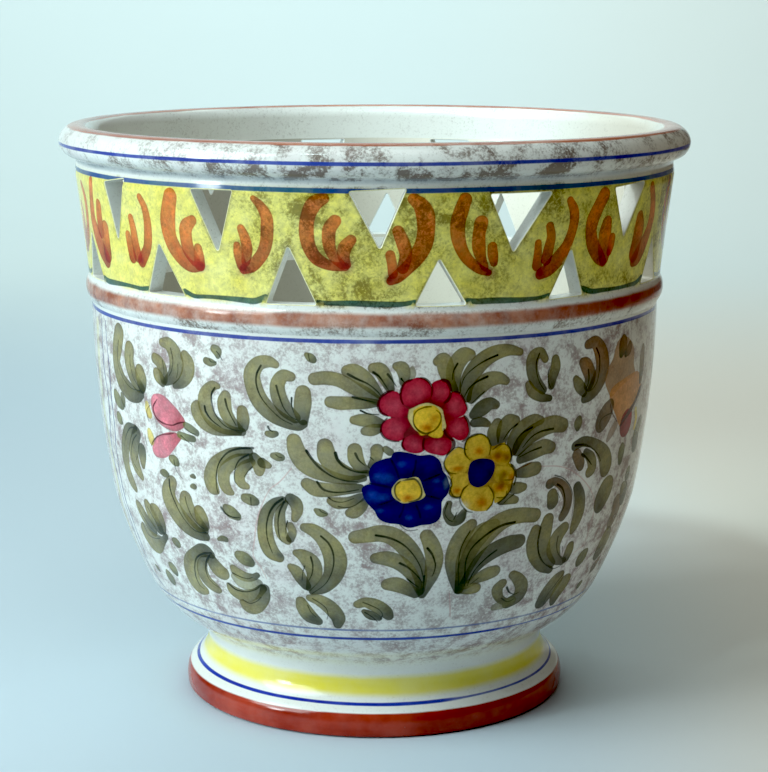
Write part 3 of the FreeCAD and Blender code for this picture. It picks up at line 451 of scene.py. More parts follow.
        ("RP", "patch", ((0.89, 131.1), (1.25, 133.5), (1.97, 135.3), (3.24, 136.3), (4.5, 135.9), (5.05, 133.4), (5.6, 131.3), (6.52, 129.8), (6.34, 128.1), (5.25, 127.1), (3.61, 127.1), (1.97, 127.9), (1.25, 128.9),)),
        ("WH", "patch", ((6.52, 129.8), (7.43, 130.5), (8.52, 131.5), (9.99, 131.9), (11.48, 130.9), (12.62, 129.4), (13.02, 126.5), (13.44, 123.3), (12.89, 121.9), (11.58, 121.3), (9.34, 121.1), (7.84, 122.3), (6.91, 124.5), (6.34, 127),)),
        ("YC", "patch", ((7.25, 129.4), (8.53, 130.8), (10, 131), (11.11, 130.9), (11.86, 129.8), (12.44, 128), (12.66, 125.5), (12.69, 122.6), (12.91, 120.8), (12.36, 119.5), (11.03, 119.6), (9.9, 120.7), (8.78, 120.5), (8.21, 121.9), (7.46, 124.1), (7.26, 126.6),)),
        ("OR", "wash", (9.88, 123.2, 2.27, 1.51, 0.85)),
        ("OR", "wash", (11.15, 126.3, 1.76, 1.6, 0.55)),
        ("VG", "line", ((10.56, 130.6), (9.26, 130.4), (7.8, 129), (7.27, 126.2), (7.65, 123.7), (8.59, 121.9), (9.71, 121.1), (11.01, 121.9), (11.93, 123.4), (12.47, 125.9), (12.26, 128), (11.5, 129.3),), 0.62),
        ("VG", "line", ((10.27, 121.4), (9.9, 120.2),), 0.54),
        ("VC", "line", ((8.12, 140.8), (9.21, 140.5), (10.13, 139.1), (10.7, 136.9), (10.53, 134.2),), 0.77),
        ("VC", "line", ((7.03, 140.3), (5.76, 139.3), (5.04, 136.9), (4.96, 134.1), (5.42, 131.6),), 0.77),
        ("VC", "line", ((12.34, 140), (13.47, 139.2), (14.04, 137), (14.16, 134.9), (13.71, 132.8), (12.97, 131.8),), 1.16),
        ("VC", "line", ((14.81, 135.5), (15.96, 134.7), (17.16, 130.7), (17.39, 128.5),), 0.69),
        ("VC", "line", ((16.83, 126.8), (17.65, 124.6), (18, 121.3), (17.56, 118.9), (16.61, 117.6),), 0.96),
        ("VC", "line", ((14.65, 118.9), (15.07, 117), (14.72, 114.9), (13.79, 113.2),), 1.16),
        ("VC", "line", ((9.35, 119.4), (9.19, 117.2), (9.39, 115),), 0.69),
        ("VC", "line", ((5.64, 119.6), (5.28, 117.4), (5.85, 115.3),), 0.77),
        ("VC", "line", ((2.52, 126.8), (1.6, 124.7), (1.42, 122.2), (1.97, 120.1), (3.25, 118.8), (4.73, 118.5),), 0.69),
        ("VC", "line", ((3.6, 136.6), (2.34, 135.8), (1.25, 133.9), (0.89, 131.1), (1.43, 128.9), (2.7, 127.5),), 0.85),
        ("VC", "line", ((13.07, 122.6), (13.48, 120.4), (14.86, 118.1),), 0.77),
    ],
    "blue": [
        ("BD", "patch", ((3.26, 112.8), (3.82, 114.6), (4.92, 114.9), (6.22, 114.5), (7.16, 114.1), (8.66, 113.3), (10.54, 113.5), (11.89, 112.3), (12.68, 110.4), (13.12, 107.5), (13.93, 105.6), (14.37, 103.3), (14.61, 101.5), (14.28, 98.9), (13.53, 97.2), (13.17, 95.7), (13.23, 93.1), (13.1, 90.5), (12.34, 88.7), (10.98, 87.8), (9.4, 87.7), (8.42, 87.2), (7.05, 86.8), (5.88, 87.4), (5.09, 88.2), (3.15, 88.6), (1.8, 89.4), (0.84, 90.9), (0.26, 93.2), (-0.49, 94.7), (-1.44, 96.9), (-1.99, 99.1), (-2.17, 101.3), (-1.59, 102.7), (-0.65, 103.5), (-0.83, 106), (-0.63, 108.6), (0.12, 110.7), (1.23, 111.8), (2.34, 112.5),)),
        ("BL", "wash", (2.35, 105.3, 3.79, 1.87, 0.55)),
        ("BL", "wash", (1.03, 98.3, 3.8, 1.67, 0.6)),
        ("BM", "wash", (6.44, 110.5, 3.12, 2.57, 0.5)),
        ("BM", "wash", (10.2, 111, 3.16, 1.81, 0.55)),
        ("BM", "wash", (6.21, 93, 2.44, 1.87, 0.45)),
        ("BM", "wash", (11.27, 92.6, 2.85, 1.87, 0.45)),
        ("BM", "wash", (1.78, 108.9, 2.75, 2.22, 0.35)),
        ("BM", "wash", (-0.28, 101.3, 2.07, 1.51, 0.35)),
        ("BK", "wash", (6.84, 106.5, 4.18, 1.86, 0.7)),
        ("BK", "wash", (2.36, 95, 2.77, 1.52, 0.6)),
        ("BK", "wash", (11.44, 104, 3.19, 5.2, 0.4)),
        ("BK", "wash", (4.65, 96.4, 2.08, 1.11, 0.4)),
        ("BS", "wash", (13.89, 103, 0.94, 2.22, 0.75)),
        ("WH", "patch", ((3.86, 102.7), (4.97, 104.8), (6.48, 105.1), (7.99, 105.6), (8.76, 104.6), (9.16, 102.7), (9.58, 100.5), (9.89, 98.6), (9.05, 97.2), (7.71, 96.6), (5.8, 96), (4.64, 97.1), (3.78, 98.5), (3.45, 100.8),)),
        ("YC", "patch", ((4.23, 102.7), (4.98, 104.1), (6.11, 104.2), (7.24, 104.7), (8.19, 103.9), (8.79, 102), (9.01, 100.2), (8.84, 98.3), (7.89, 97.3), (6.75, 96.6), (5.79, 96.3), (5.02, 97.5), (4.25, 99.4),)),
        ("OR", "wash", (6.54, 98.1, 2.09, 1.16, 0.9)),
        ("VG", "line", ((5.07, 104.1), (4.23, 102.7), (4.05, 100.5), (4.45, 98.2), (5.22, 96.9),), 0.69),
        ("VG", "line", ((5.54, 104.4), (7.24, 104.9), (8, 104.6), (8.78, 102.8), (9.19, 100.5), (9.03, 98.3), (8.09, 96.9), (6.75, 96.5),), 0.69),
        ("VG", "line", ((5.09, 88.2), (5.88, 86.7), (6.87, 85.8), (8.05, 85.9), (8.64, 86.1),), 0.62),
    ],
    "yellow": [
        ("YP", "patch", ((13.25, 110.7), (13.99, 112.8), (15.11, 114.9), (16.25, 115.8), (17.06, 114.6), (17.5, 112.8), (18.54, 110.8), (18.38, 109.4), (17.84, 106.9), (17.06, 106.3), (15.68, 106.1), (14.5, 106.4), (13.69, 107.8),)),
        ("YP", "patch", ((17.08, 113.5), (17.23, 116), (17.97, 118.1), (19.12, 119.4), (20.51, 119.9), (21.55, 118.7), (22.03, 116.1), (22.31, 113.5), (21.75, 111.8), (20.55, 110.9), (19.34, 110.7), (18.32, 111.6),)),
        ("YP", "patch", ((22.3, 113.9), (23.33, 114), (24.35, 114.6), (25.14, 116.3), (25.85, 114.3), (26.54, 113.1), (26.84, 110.9), (26.72, 108.7), (25.89, 107.7), (24.81, 107.9), (23.71, 108.9), (22.82, 110.5),)),
        ("YP", "patch", ((23.97, 107.7), (25.25, 107.5), (26.73, 108.3), (27.7, 106.3), (28.05, 103.6), (27.73, 101.1), (26.65, 100.6), (25.09, 101.3), (23.97, 102.2), (23.47, 104.2), (23.61, 106),)),
        ("YP", "patch", ((23.58, 101.6), (24.87, 101.3), (26.44, 100.3), (26.78, 98), (26.43, 96.2), (25.39, 94.9), (24.13, 94), (23.81, 96.3), (23.92, 98.5), (23.21, 100.2),)),
        ("YP", "patch", ((16.92, 97.1), (17.25, 99.6), (18.01, 101), (18.6, 101.7), (20.28, 100.3), (21.94, 100.4), (22.8, 99.9), (23.52, 97.9), (23.84, 95.6), (23.51, 93.4), (22.73, 91.7), (21.47, 91.4), (19.77, 91.8), (18.27, 93.2), (17.38, 95.2),)),
        ("YP", "patch", ((14.53, 105.1), (15.49, 106.1), (17.26, 106.2), (18.08, 105.4), (18.36, 102.8), (17.8, 101.4), (17.24, 100), (16.9, 97.8), (15.71, 97.3), (14.68, 98.5), (14.64, 100.3), (14.99, 102.1),)),
        ("OR", "wash", (16.03, 107.9, 2.18, 0.96, 0.8)),
        ("OR", "wash", (20.07, 113.7, 1.88, 1.46, 0.85)),
        ("OR", "wash", (24.06, 111, 2.35, 1.66, 0.8)),
        ("OR", "wash", (27.41, 103, 1.24, 1.87, 0.8)),
        ("OR", "wash", (24.96, 99.5, 2.2, 1.47, 0.85)),
        ("OR", "wash", (21.33, 94.6, 2.49, 2.08, 0.8)),
        ("OR", "wash", (16.14, 99.8, 1.84, 1.31, 0.85)),
        ("WS", "wash", (17.83, 94, 1.5, 1.52, 0.6)),
        ("OL", "wash", (25.19, 103.8, 2, 1.46, 0.4)),
        ("BD", "patch", ((18.95, 110.4), (19.94, 111), (21.36, 110.9), (22.62, 110.3), (23.28, 109.3), (23.54, 107.8), (23.41, 105.6), (22.86, 103.5), (22.29, 102.2), (21.5, 101), (20.27, 100.5), (19.01, 101.4), (18.35, 103.2), (18.07, 105.8), (18.21, 107.9), (18.38, 109.4),)),
        ("BM", "wash", (20.12, 105.1, 2.27, 1.87, 0.45)),
        ("BM", "wash", (21.85, 108.5, 1.92, 1.11, 0.3)),
        ("BK", "wash", (19.97, 109.9, 1.51, 0.86, 0.6)),
        ("BK", "wash", (22.61, 104.7, 1.55, 2.22, 0.5)),
        ("VG", "line", ((18.34, 110.8), (17.5, 112.4), (17.16, 114.6), (17.21, 116.8), (17.76, 118.5), (18.93, 119.4), (20.3, 120.1),), 0.54),
        ("VG", "line", ((13.25, 110.7), (13.29, 108.9), (13.9, 107), (14.71, 105.8),), 0.62),
        ("VG", "line", ((14.13, 105.5), (14.76, 103.6), (15, 101.8), (14.65, 100), (14.68, 98.5), (15.51, 97.3), (16.72, 96.9),), 0.62),
        ("VG", "line", ((18.2, 101.5), (17.43, 100.4), (16.89, 98.2), (16.75, 96), (17.43, 93.7), (18.52, 91.8), (19.79, 91.3),), 0.62),
        ("VG", "line", ((22.33, 101), (23.26, 99), (23.79, 96.7), (23.49, 93.8), (22.53, 91.5),), 0.58),
        ("VG", "line", ((26.52, 113.5), (26.95, 110.8), (26.84, 108.3),), 0.58),
        ("VG", "line", ((26.97, 107.9), (27.94, 105.9), (28.31, 102.8), (28.02, 99.9),), 0.77),
        ("VG", "line", ((26.56, 98), (26.43, 96.2), (25.41, 94.5), (24.17, 93.3),), 0.58),
    ],
}
COMMAS = {
    "S1": [((-64, 202.4, 3.8), (-65.2, 195.6, 4.3), (-65.9, 188.2, 5.8), (-64.7, 182.9, 7.7), (-62.9, 177.8, 7.6), (-60.9, 174.5, 6.7),), ((-61.6, 194.1, 4.7), (-62.1, 189.6, 5.7), (-62.1, 184.5, 5.7),), ((-59.8, 186.1, 5.7), (-60.1, 182, 6.6), (-60.1, 176.5, 6.6),)],
    "S2": [((-45.9, 199.4, 2.9), (-44.9, 196.1, 3.5), (-44.5, 191.2, 4), (-44.8, 185.5, 4.5), (-45.5, 181.1, 4.3), (-47.4, 176.5, 4.8),), ((-49.4, 191.5, 3.3), (-49, 187.6, 3.9), (-48.9, 183, 4.5), (-48.5, 178.1, 5.1),), ((-51, 185.2, 3.4), (-50.7, 181.6, 4.1), (-50.2, 177.4, 4.7),)],
    "S3": [((-37.8, 200.8, 6), (-38.5, 196.9, 6.6), (-39.1, 191.9, 7.2), (-39, 187.1, 6.5), (-38.1, 183, 6.3), (-36.3, 179, 5.5), (-34.4, 176.8, 4.4), (-32.3, 177.1, 3.6),), ((-33.3, 193, 3.7), (-34.9, 190.4, 5.5), (-35.1, 186.2, 5.5), (-34.7, 182.4, 5.5), (-33.5, 179, 4.5),), ((-32.6, 183.4, 3.5), (-32.5, 180.6, 4.4), (-32.5, 177.8, 4.8),)],
    "S4": [((-20.7, 201.7, 2.3), (-19.5, 199.4, 3.4), (-18.5, 195.7, 4.4), (-18.5, 191.3, 4.7), (-18.8, 186.8, 4.6), (-19.7, 182.6, 4.5), (-21.6, 178.6, 4.4), (-23.4, 177.1, 3.4),), ((-23.4, 191.2, 3.1), (-22.8, 188.2, 3.9), (-22.5, 184.1, 4.2), (-22.9, 179.9, 3.4),), ((-24.4, 185.3, 2.8), (-24.2, 182.2, 3.9), (-23.7, 178.4, 3.9),)],
    "S5": [((-8.4, 202.3, 4), (-10, 200.5, 5.3), (-11.1, 196.4, 5.1), (-11.5, 191, 5.2), (-11.1, 185.9, 4.9), (-9.8, 181.8, 4.6), (-7.4, 179.5, 3.5), (-4.9, 179.2, 3.1),), ((-6.5, 194.8, 4.3), (-7.5, 191.8, 4.7), (-7.6, 186.7, 4.4), (-6.8, 182.6, 3.8), (-5.3, 179.5, 2.8),), ((-3.8, 188.4, 3.7), (-4.9, 185.7, 4.7), (-5.1, 182.6, 4.1), (-4.6, 179.9, 3.1),)],
    "S6": [((6.7, 202.2, 4), (8, 200.1, 5.3), (8.8, 196.7, 6.4), (9, 191.6, 6.1), (8.7, 187.2, 6.2), (7.7, 183.1, 5.9), (6.2, 179.4, 4.8), (4.3, 176, 4.5), (3, 174.4, 3.1),), ((4.2, 191.4, 4), (5.1, 187.3, 4.7), (5.6, 183.2, 4.4), (5.1, 178.8, 4.1),), ((2.9, 183.3, 3.4), (3.2, 180.5, 3.4), (3.4, 176.8, 3.4),)],
    "S7": [((15.6, 201.8, 4.7), (15, 198.1, 5.3), (14.5, 194, 5.3), (14.6, 189.6, 5.2), (15.3, 185.1, 4.5), (16.6, 181.2, 4), (18.7, 177.9, 3.4), (20.6, 176.4, 2.4),), ((18.7, 193.8, 5.1), (18.4, 189.7, 4.7), (18.5, 185.5, 5), (19, 181.7, 3.9), (19.8, 178.5, 2.8),), ((21, 185.3, 3.6), (21.2, 182.5, 4), (21.5, 179.8, 2.9),)],
    "S8": [((36.2, 199.9, 2.9), (37.4, 196.2, 4.1), (37.7, 192.4, 4.3), (37.3, 188.2, 4.3), (36.4, 183.8, 4.7), (35, 180.2, 5.9), (32.9, 176.6, 5.5), (31, 174.8, 4),), ((32.3, 191.3, 3.4), (32.8, 187.8, 3.9), (32.5, 184, 4.4), (32.1, 179.9, 4.4),), ((30.1, 185.7, 2.9), (30.2, 182.2, 3.4), (30.2, 178, 4.2),)],
    "S9": [((44.6, 200.5, 6.2), (43.4, 196.5, 6), (42.4, 192.4, 6.4), (42.2, 188.2, 5.7), (43.1, 183.4, 6), (44.9, 179.3, 5.7), (46.5, 176.8, 3.6),), ((46.4, 190.7, 5.3), (46.2, 186.8, 7), (46.6, 182.1, 7.7), (46.7, 178.2, 5.3),), ((48.5, 185, 3.8), (48.4, 182.5, 3.8), (48, 180.1, 3.1),)],
    "S10": [((61.1, 201.5, 3.8), (62.7, 196.1, 4.8), (63.3, 190.9, 5.7), (62.7, 185.9, 5.7), (61, 181.1, 6.6), (58.9, 176.9, 7), (57, 175.1, 4.6),), ((57.6, 190.9, 5.2), (57.9, 186.9, 7.9), (57.6, 182.6, 7.8), (57, 178.3, 7.6),)],
}

# ------------------------------------------------------------------ pigments
LEAF_HEAD, LEAF_BASE = srgb(144, 135, 83), srgb(66, 64, 29)
PIGMENT = {
    # kind: colour at the start, colour at the end, how well it covers
    "L": (LEAF_HEAD, LEAF_BASE, 0.95),
    "LR": (LEAF_BASE, LEAF_HEAD, 0.95),
    "LL": (srgb(164, 160, 114), srgb(124, 122, 78), 0.78),
    "LD": (srgb(86, 84, 50), srgb(50, 52, 28), 0.96),
    "LB": (srgb(130, 98, 58), srgb(98, 78, 42), 0.93),
    "LO": (srgb(150, 104, 54), srgb(76, 74, 36), 0.94),
    "LF": (srgb(156, 114, 82), srgb(140, 104, 76), 0.66),
    "BT": (srgb(168, 126, 82), srgb(150, 110, 66), 0.86),
    "D": (srgb(134, 132, 84), srgb(82, 84, 44), 0.95),
    "PK": (srgb(224, 120, 136), srgb(192, 58, 80), 0.93),
    "YS": (srgb(236, 214, 112), srgb(228, 198, 84), 0.9),
    "ST": (srgb(132, 132, 78), srgb(86, 90, 48), 0.94),
    "OB": (srgb(206, 142, 82), srgb(176, 102, 52), 0.93),
    "CR": (srgb(156, 32, 54), srgb(130, 24, 40), 0.95),
    "V": (srgb(20, 26, 12), srgb(34, 40, 20), 0.98),
    "VR": (srgb(84, 34, 22), srgb(100, 50, 34), 0.93),
    "VC": (srgb(58, 8, 16), srgb(76, 16, 24), 0.95),
    "VG": (srgb(40, 42, 14), srgb(54, 54, 20), 0.95),
    "VP": (srgb(198, 138, 134), srgb(206, 156, 148), 0.68),
    "VD": (srgb(58, 64, 122), srgb(76, 84, 138), 0.92),
    "RD": (srgb(112, 8, 22), srgb(112, 8, 22), 0.98),
    "RP": (srgb(176, 40, 60), srgb(176, 40, 60), 1.0),
    "WH": (srgb(226, 210, 140), srgb(226, 210, 140), 0.93),
    "YC": (srgb(234, 194, 66), srgb(234, 194, 66), 0.98),
    "YP": (srgb(218, 182, 72), srgb(218, 182, 72), 0.98),
    "BD": (srgb(8, 13, 92), srgb(8, 13, 92), 1.0),
    "OR": (srgb(180, 84, 24), srgb(180, 84, 24), 1.0),
    "BL": (srgb(58, 84, 178), srgb(58, 84, 178), 1.0),
    "BM": (srgb(18, 36, 138), srgb(18, 36, 138), 1.0),
    "BK": (srgb(3, 5, 38), srgb(3, 5, 38), 1.0),
    "BS": (srgb(92, 108, 124), srgb(92, 108, 124), 1.0),
    "WS": (srgb(228, 220, 190), srgb(228, 220, 190), 1.0),
    "OL": (srgb(132, 118, 34), srgb(132, 118, 34), 1.0),
    "K": (srgb(48, 50, 22), srgb(48, 50, 22), 1.0),
    "C": (srgb(220, 112, 54), srgb(172, 50, 26), 0.93),
    "VB": (srgb(2, 4, 36), srgb(3, 6, 44), 0.8),
    "YB": (srgb(176, 138, 40), srgb(176, 138, 40), 0.97),
    "BR": (srgb(120, 66, 16), srgb(120, 66, 16), 1.0),
    "YW": (srgb(236, 228, 140), srgb(236, 228, 140), 0.42),
    "CK": (srgb(138, 30, 18), srgb(138, 30, 18), 1.0),
    "GT": (srgb(36, 92, 90), srgb(46, 102, 92), 0.95),
}


# ------------------------------------------------------------------ profiles
def arc(a, m, b, step=1.1):
    """Points of the arc from a through m to b, with no point repeated at a."""
    (ax, ay), (bx, by), (cx, cy) = a, m, b
    d = 2 * (ax * (by - cy) + bx * (cy - ay) + cx * (ay - by))
    sa, sb, sc = ax * ax + ay * ay, bx * bx + by * by, cx * cx + cy * cy
    ux = (sa * (by - cy) + sb * (cy - ay) + sc * (ay - by)) / d
    uy = (sa * (cx - bx) + sb * (ax - cx) + sc * (bx - ax)) / d
    r = math.hypot(ax - ux, ay - uy)
    t = [math.atan2(p[1] - uy, p[0] - ux) for p in (a, m, b)]
    for i in (1, 2):
        while t[i] - t[i - 1] > math.pi:
            t[i] -= 2 * math.pi
        while t[i] - t[i - 1] < -math.pi:
            t[i] += 2 * math.pi
    n = max(4, int(abs(t[2] - t[0]) * r / step) + 1)
    k = np.linspace(t[0], t[2], n + 1)[1:]
    return np.stack([ux + r * np.cos(k), uy + r * np.sin(k)], 1)


def straight(a, b, step=2.0):
    n = max(1, int(math.dist(a, b) / step + 0.5))
    k = np.linspace(0, 1, n + 1)[1:, None]
    return np.array(a)[None] * (1 - k) + np.array(b)[None] * k


def run(start, *parts, step=1.1, flat=2.0):
    """One smooth stretch of a section. A part is a point, for a straight
    edge, or a pair of points, for an arc through the first to the second."""
    pts = [np.array([start], float)]
    at = start
    for part in parts:
        if isinstance(part[0], tuple):
            pts.append(arc(at, part[0], part[1], step))
            at = part[1]
        else:
            pts.append(straight(at, part, flat))
            at = part
    return np.vstack(pts)


FOOT_OUT = run((72.9, 0.0), ((73.85, 0.55), (74.2, 2.0)), ((74.45, 4.2), (74.2, 6.4)), ((73.35, 8.75), (71.2, 10.75)),
               (70.1, 11.6), ((67.25, 15.0), (66.1, 19.4)), ((66.12, 20.95), (66.4, 22.5)), step=0.7)
FOOT = [run((61.6, 0.0), (72.9, 0.0)), FOOT_OUT, run((66.4, 22.5), (57.5, 22.5)),
        run((57.5, 22.5), (58.4, 9.0), ((59.4, 3.6), (61.6, 0.0)))]
BOWL_OUT = run((66.4, 22.5), ((68.35, 26.0), (72.3, 29.5)), ((80.3, 35.6), (87.2, 44.0)), ((95.6, 62.5), (101.4, 80.0)),
               ((106.3, 112.0), (108.8, 155.0)))
BOWL_IN = run((102.3, 155.0), ((99.7, 112.0), (94.6, 80.0)), ((88.8, 62.5), (80.0, 46.6)), ((66.0, 35.0), (46.0, 29.4)),
              (2.0, 28.06), step=3.6)
BOWL_TOP = [run((108.8, 155.0), (106.6, 155.0)), run((106.6, 155.0), (106.5, 156.7)), run((106.5, 156.7), (104.5, 156.7)),
            run((104.5, 156.7), (104.4, 155.0)), run((104.4, 155.0), (102.3, 155.0))]
BOWL_UNDER = [run((2.0, 17.0), (57.3, 17.0), flat=14.0), run((57.3, 17.0), (57.3, 22.5), flat=6.0), run((57.3, 22.5), (66.4, 22.5), flat=10.0)]
RIB_OUT = run((108.8, 155.0), ((110.9, 159.4), (109.7, 164.2)), step=0.6)
RIB = [RIB_OUT, run((109.7, 164.2), (107.7, 164.2)), run((107.7, 164.2), (107.6, 162.3)), run((107.6, 162.3), (105.4, 162.3)),
       run((105.4, 162.3), (105.3, 164.2)), run((105.3, 164.2), (103.2, 164.2)), run((103.2, 164.2), (102.3, 155.0)),
       run((102.3, 155.0), (104.25, 155.0)), run((104.25, 155.0), (104.35, 156.9)), run((104.35, 156.9), (106.65, 156.9)),
       run((106.65, 156.9), (106.75, 155.0)), run((106.75, 155.0), (108.8, 155.0))]
GALLERY_OUT = run((109.7, 164.2), ((111.75, 184.0), (114.2, 202.6)), (113.7, 206.8))
GALLERY_IN = run((107.3, 206.8), (103.2, 164.2))
GALLERY_TOP = [run((113.7, 206.8), (111.6, 206.8)), run((111.6, 206.8), (111.5, 208.5)), run((111.5, 208.5), (109.5, 208.5)),
               run((109.5, 208.5), (109.4, 206.8)), run((109.4, 206.8), (107.3, 206.8))]
GALLERY_LOW = [run((103.2, 164.2), (105.45, 164.2)), run((105.45, 164.2), (105.55, 162.5)), run((105.55, 162.5), (107.45, 162.5)),
               run((107.45, 162.5), (107.55, 164.2)), run((107.55, 164.2), (109.7, 164.2))]
RIM_OUT = run((113.7, 206.8), ((114.25, 208.35), (116.0, 209.3)), ((119.2, 211.7), (120.0, 214.8)), ((117.9, 218.9), (112.8, 220.8)),
              ((109.0, 219.2), (107.6, 215.4)), (107.3, 206.8), step=0.6)
RIM = [RIM_OUT, run((107.3, 206.8), (109.25, 206.8)), run((109.25, 206.8), (109.35, 208.7)), run((109.35, 208.7), (111.65, 208.7)),
       run((111.65, 208.7), (111.75, 206.8)), run((111.75, 206.8), (113.7, 206.8))]

POINT_DOWN = [
    (0.7, -9.5, 204.5, 9.5, 205.6, 0.8, 185.0), (26.15, -12.0, 203.3, 12.0, 203.3, -1.9, 183.1),
    (52.7, -10.1, 202.9, 10.1, 203.9, -0.8, 184.7), (80.4, -9.4, 203.8, 9.8, 203.4, 0.6, 183.2),
    (107.9, -10.2, 203.2, 9.6, 204.2, -0.5, 184.4), (135.3, -9.0, 204.3, 9.4, 203.6, 0.9, 182.8),
    (162.8, -8.7, 206.1, 8.7, 206.2, -0.7, 184.0), (192.4, -9.5, 206.2, 9.5, 206.1, 0.4, 183.5),
    (220.7, -9.9, 203.3, 9.2, 204.0, 1.1, 184.6), (248.9, -9.1, 204.1, 9.7, 203.3, -0.9, 182.9),
    (277.2, -8.8, 203.5, 9.3, 204.4, 0.5, 183.8), (306.15, -6.9, 203.2, 6.9, 205.2, -1.7, 182.4),
    (331.05, -8.4, 203.8, 8.4, 204.0, 1.1, 182.4),
]
POINT_UP = [
    (12.05, -8.9, 165.7, 8.9, 165.6, -1.1, 181.8), (37.4, -7.7, 165.7, 7.7, 166.0, 0.6, 182.9),
    (66.2, -8.3, 165.8, 8.3, 165.6, -1.0, 182.2), (94.2, -8.6, 165.6, 8.2, 165.9, 0.7, 184.3),
    (121.7, -8.1, 165.9, 8.7, 165.6, -0.6, 183.1), (149.0, -8.8, 165.6, 8.4, 165.8, 0.9, 184.8),
    (177.6, -8.3, 165.8, 8.5, 165.7, -0.4, 183.4), (206.5, -8.5, 165.6, 8.9, 165.9, 0.5, 184.0),
    (234.8, -8.2, 165.8, 8.1, 165.6, -1.0, 182.6), (263.0, -8.7, 165.7, 8.6, 165.8, 0.8, 184.5),
    (291.7, -8.4, 165.6, 8.8, 165.8, -0.7, 183.0), (318.65, -9.2, 165.6, 9.2, 165.7, -1.3, 183.8),
    (345.3, -8.8, 165.7, 8.8, 165.8, -0.4, 186.0),
]


# -------------------------------------------------------------- small numbers
def value_noise(x, y, seed):
    """Smooth noise, 0..1, the same on every run."""
    def corner(i, j):
        h = np.sin(i * 127.1 + j * 311.7 + seed * 74.7) * 43758.5453
        return h - np.floor(h)
    i, j = np.floor(x), np.floor(y)
    u, v = x - i, y - j
    u, v = u * u * (3 - 2 * u), v * v * (3 - 2 * v)
    low = corner(i, j) * (1 - u) + corner(i + 1, j) * u
    high = corner(i, j + 1) * (1 - u) + corner(i + 1, j + 1) * u
    return low * (1 - v) + high * v


def smooth(x, a, b):
    k = np.clip((x - a) / (b - a), 0, 1)
    return k * k * (3 - 2 * k)


def hand(p):
    """The small unevenness of a thrown pot, all inside the turned size."""
    x, y, z = p[:, 0], p[:, 1], p[:, 2]
    th = np.arctan2(x, -y)
    d = 0.07 * np.sin(2 * th + 0.7 + 0.004 * z) + 0.045 * np.sin(3 * th - 1.1 + 0.011 * z) + 0.025 * np.sin(5 * th + 2.0 - 0.02 * z)
    k = 1 + (d - 0.15) / 120.0
    up = smooth(z, 60.0, 215.0)
    dz = up * (-0.2 + 0.14 * np.sin(2 * th + 2.2) + 0.06 * np.sin(3 * th + 0.5))
    return np.stack([x * k, y * k, z + dz], 1)


def ring_normals(points, before=None, after=None):
    """Outward normals (radial, up) along a run walked with the clay on its left."""
    p = points
    if before is not None:
        p = np.vstack([[before], p])
    if after is not None:
        p = np.vstack([p, [after]])
    t = np.empty_like(p)
    t[1:-1] = p[2:] - p[:-2]
    t[0], t[-1] = p[1] - p[0], p[-1] - p[-2]
    t /= np.linalg.norm(t, axis=1)[:, None]
    n = np.stack([t[:, 1], -t[:, 0]], 1)
    if before is not None:
        n = n[1:]
    if after is not None:
        n = n[:-1]
    return n


def lengths(p):
    return np.concatenate([[0.0], np.cumsum(np.linalg.norm(np.diff(p, axis=0), axis=1))])


# ---------------------------------------------------------------- mesh makers
class Shell:
    """Collects the faces of one piece, with a normal, a place along the
    section and a map position at every corner, and paint at every vertex."""

    def __init__(self):
        self.verts, self.count = [], 0
        self.corner_v, self.corner_n, self.corner_s, self.corner_uv = [], [], [], []
        self.sizes = []
        self.paint, self.sponge = [], []

    def add_verts(self, p, paint=None, sponge=0.0):
        n = len(p)
        first = self.count
        self.verts.append(np.asarray(p, float))
        self.paint.append(np.zeros((n, 4)) if paint is None else paint)
        self.sponge.append(np.full(n, sponge) if np.isscalar(sponge) else sponge)
        self.count += n
        return first + np.arange(n)

    def add_faces(self, faces, normals, s, uv):
        """faces (n, k) vertex numbers; the rest (n, k, ...) at their corners."""
        self.sizes.append(np.full(len(faces), faces.shape[1]))
        self.corner_v.append(faces.reshape(-1))
        self.corner_n.append(normals.reshape(-1, 3))
        self.corner_s.append(s.reshape(-1))
        self.corner_uv.append(uv.reshape(-1, 2))

    def build(self, name):
        v = hand(np.vstack(self.verts)) * MM
        cv = np.concatenate(self.corner_v)
        sizes = np.concatenate(self.sizes)
        used = np.zeros(len(v), bool)
        used[cv] = True
        renum = np.cumsum(used) - 1
        v, cv = v[used], renum[cv]
        me = bpy.data.meshes.new(name)
        me.vertices.add(len(v))
        me.vertices.foreach_set("co", v.astype(np.float32).ravel())
        me.loops.add(len(cv))
        me.loops.foreach_set("vertex_index", cv.astype(np.int32))
        me.polygons.add(len(sizes))
        me.polygons.foreach_set("loop_start", np.concatenate([[0], np.cumsum(sizes)[:-1]]).astype(np.int32))
        me.polygons.foreach_set("use_smooth", np.ones(len(sizes), bool))
        me.update(calc_edges=True)
        me.validate(clean_customdata=False)
        a = me.attributes.new("paint", "FLOAT_COLOR", "POINT")
        a.data.foreach_set("color", np.vstack(self.paint)[used].astype(np.float32).ravel())
        a = me.attributes.new("sponged", "FLOAT", "POINT")
        a.data.foreach_set("value", np.concatenate(self.sponge)[used].astype(np.float32))
        a = me.attributes.new("section", "FLOAT", "CORNER")
        a.data.foreach_set("value", np.concatenate(self.corner_s).astype(np.float32))
        uv = me.uv_layers.new(name="OFBake")
        uv.uv.foreach_set("vector", np.vstack(self.corner_uv).astype(np.float32).ravel())
        n = np.vstack(self.corner_n)
        n /= np.linalg.norm(n, axis=1)[:, None]
        me.normals_split_custom_set(n.astype(np.float32).tolist())
        ob = bpy.data.objects.new(name, me)
        bpy.context.scene.collection.objects.link(ob)
        return ob


def turn_points(p, theta):
    """Every section point at every angle: (section, angle, 3)."""
    r, z = p[:, :1], p[:, 1:]
    return np.stack([r * np.sin(theta)[None], -r * np.cos(theta)[None], z + 0 * theta[None]], 2)


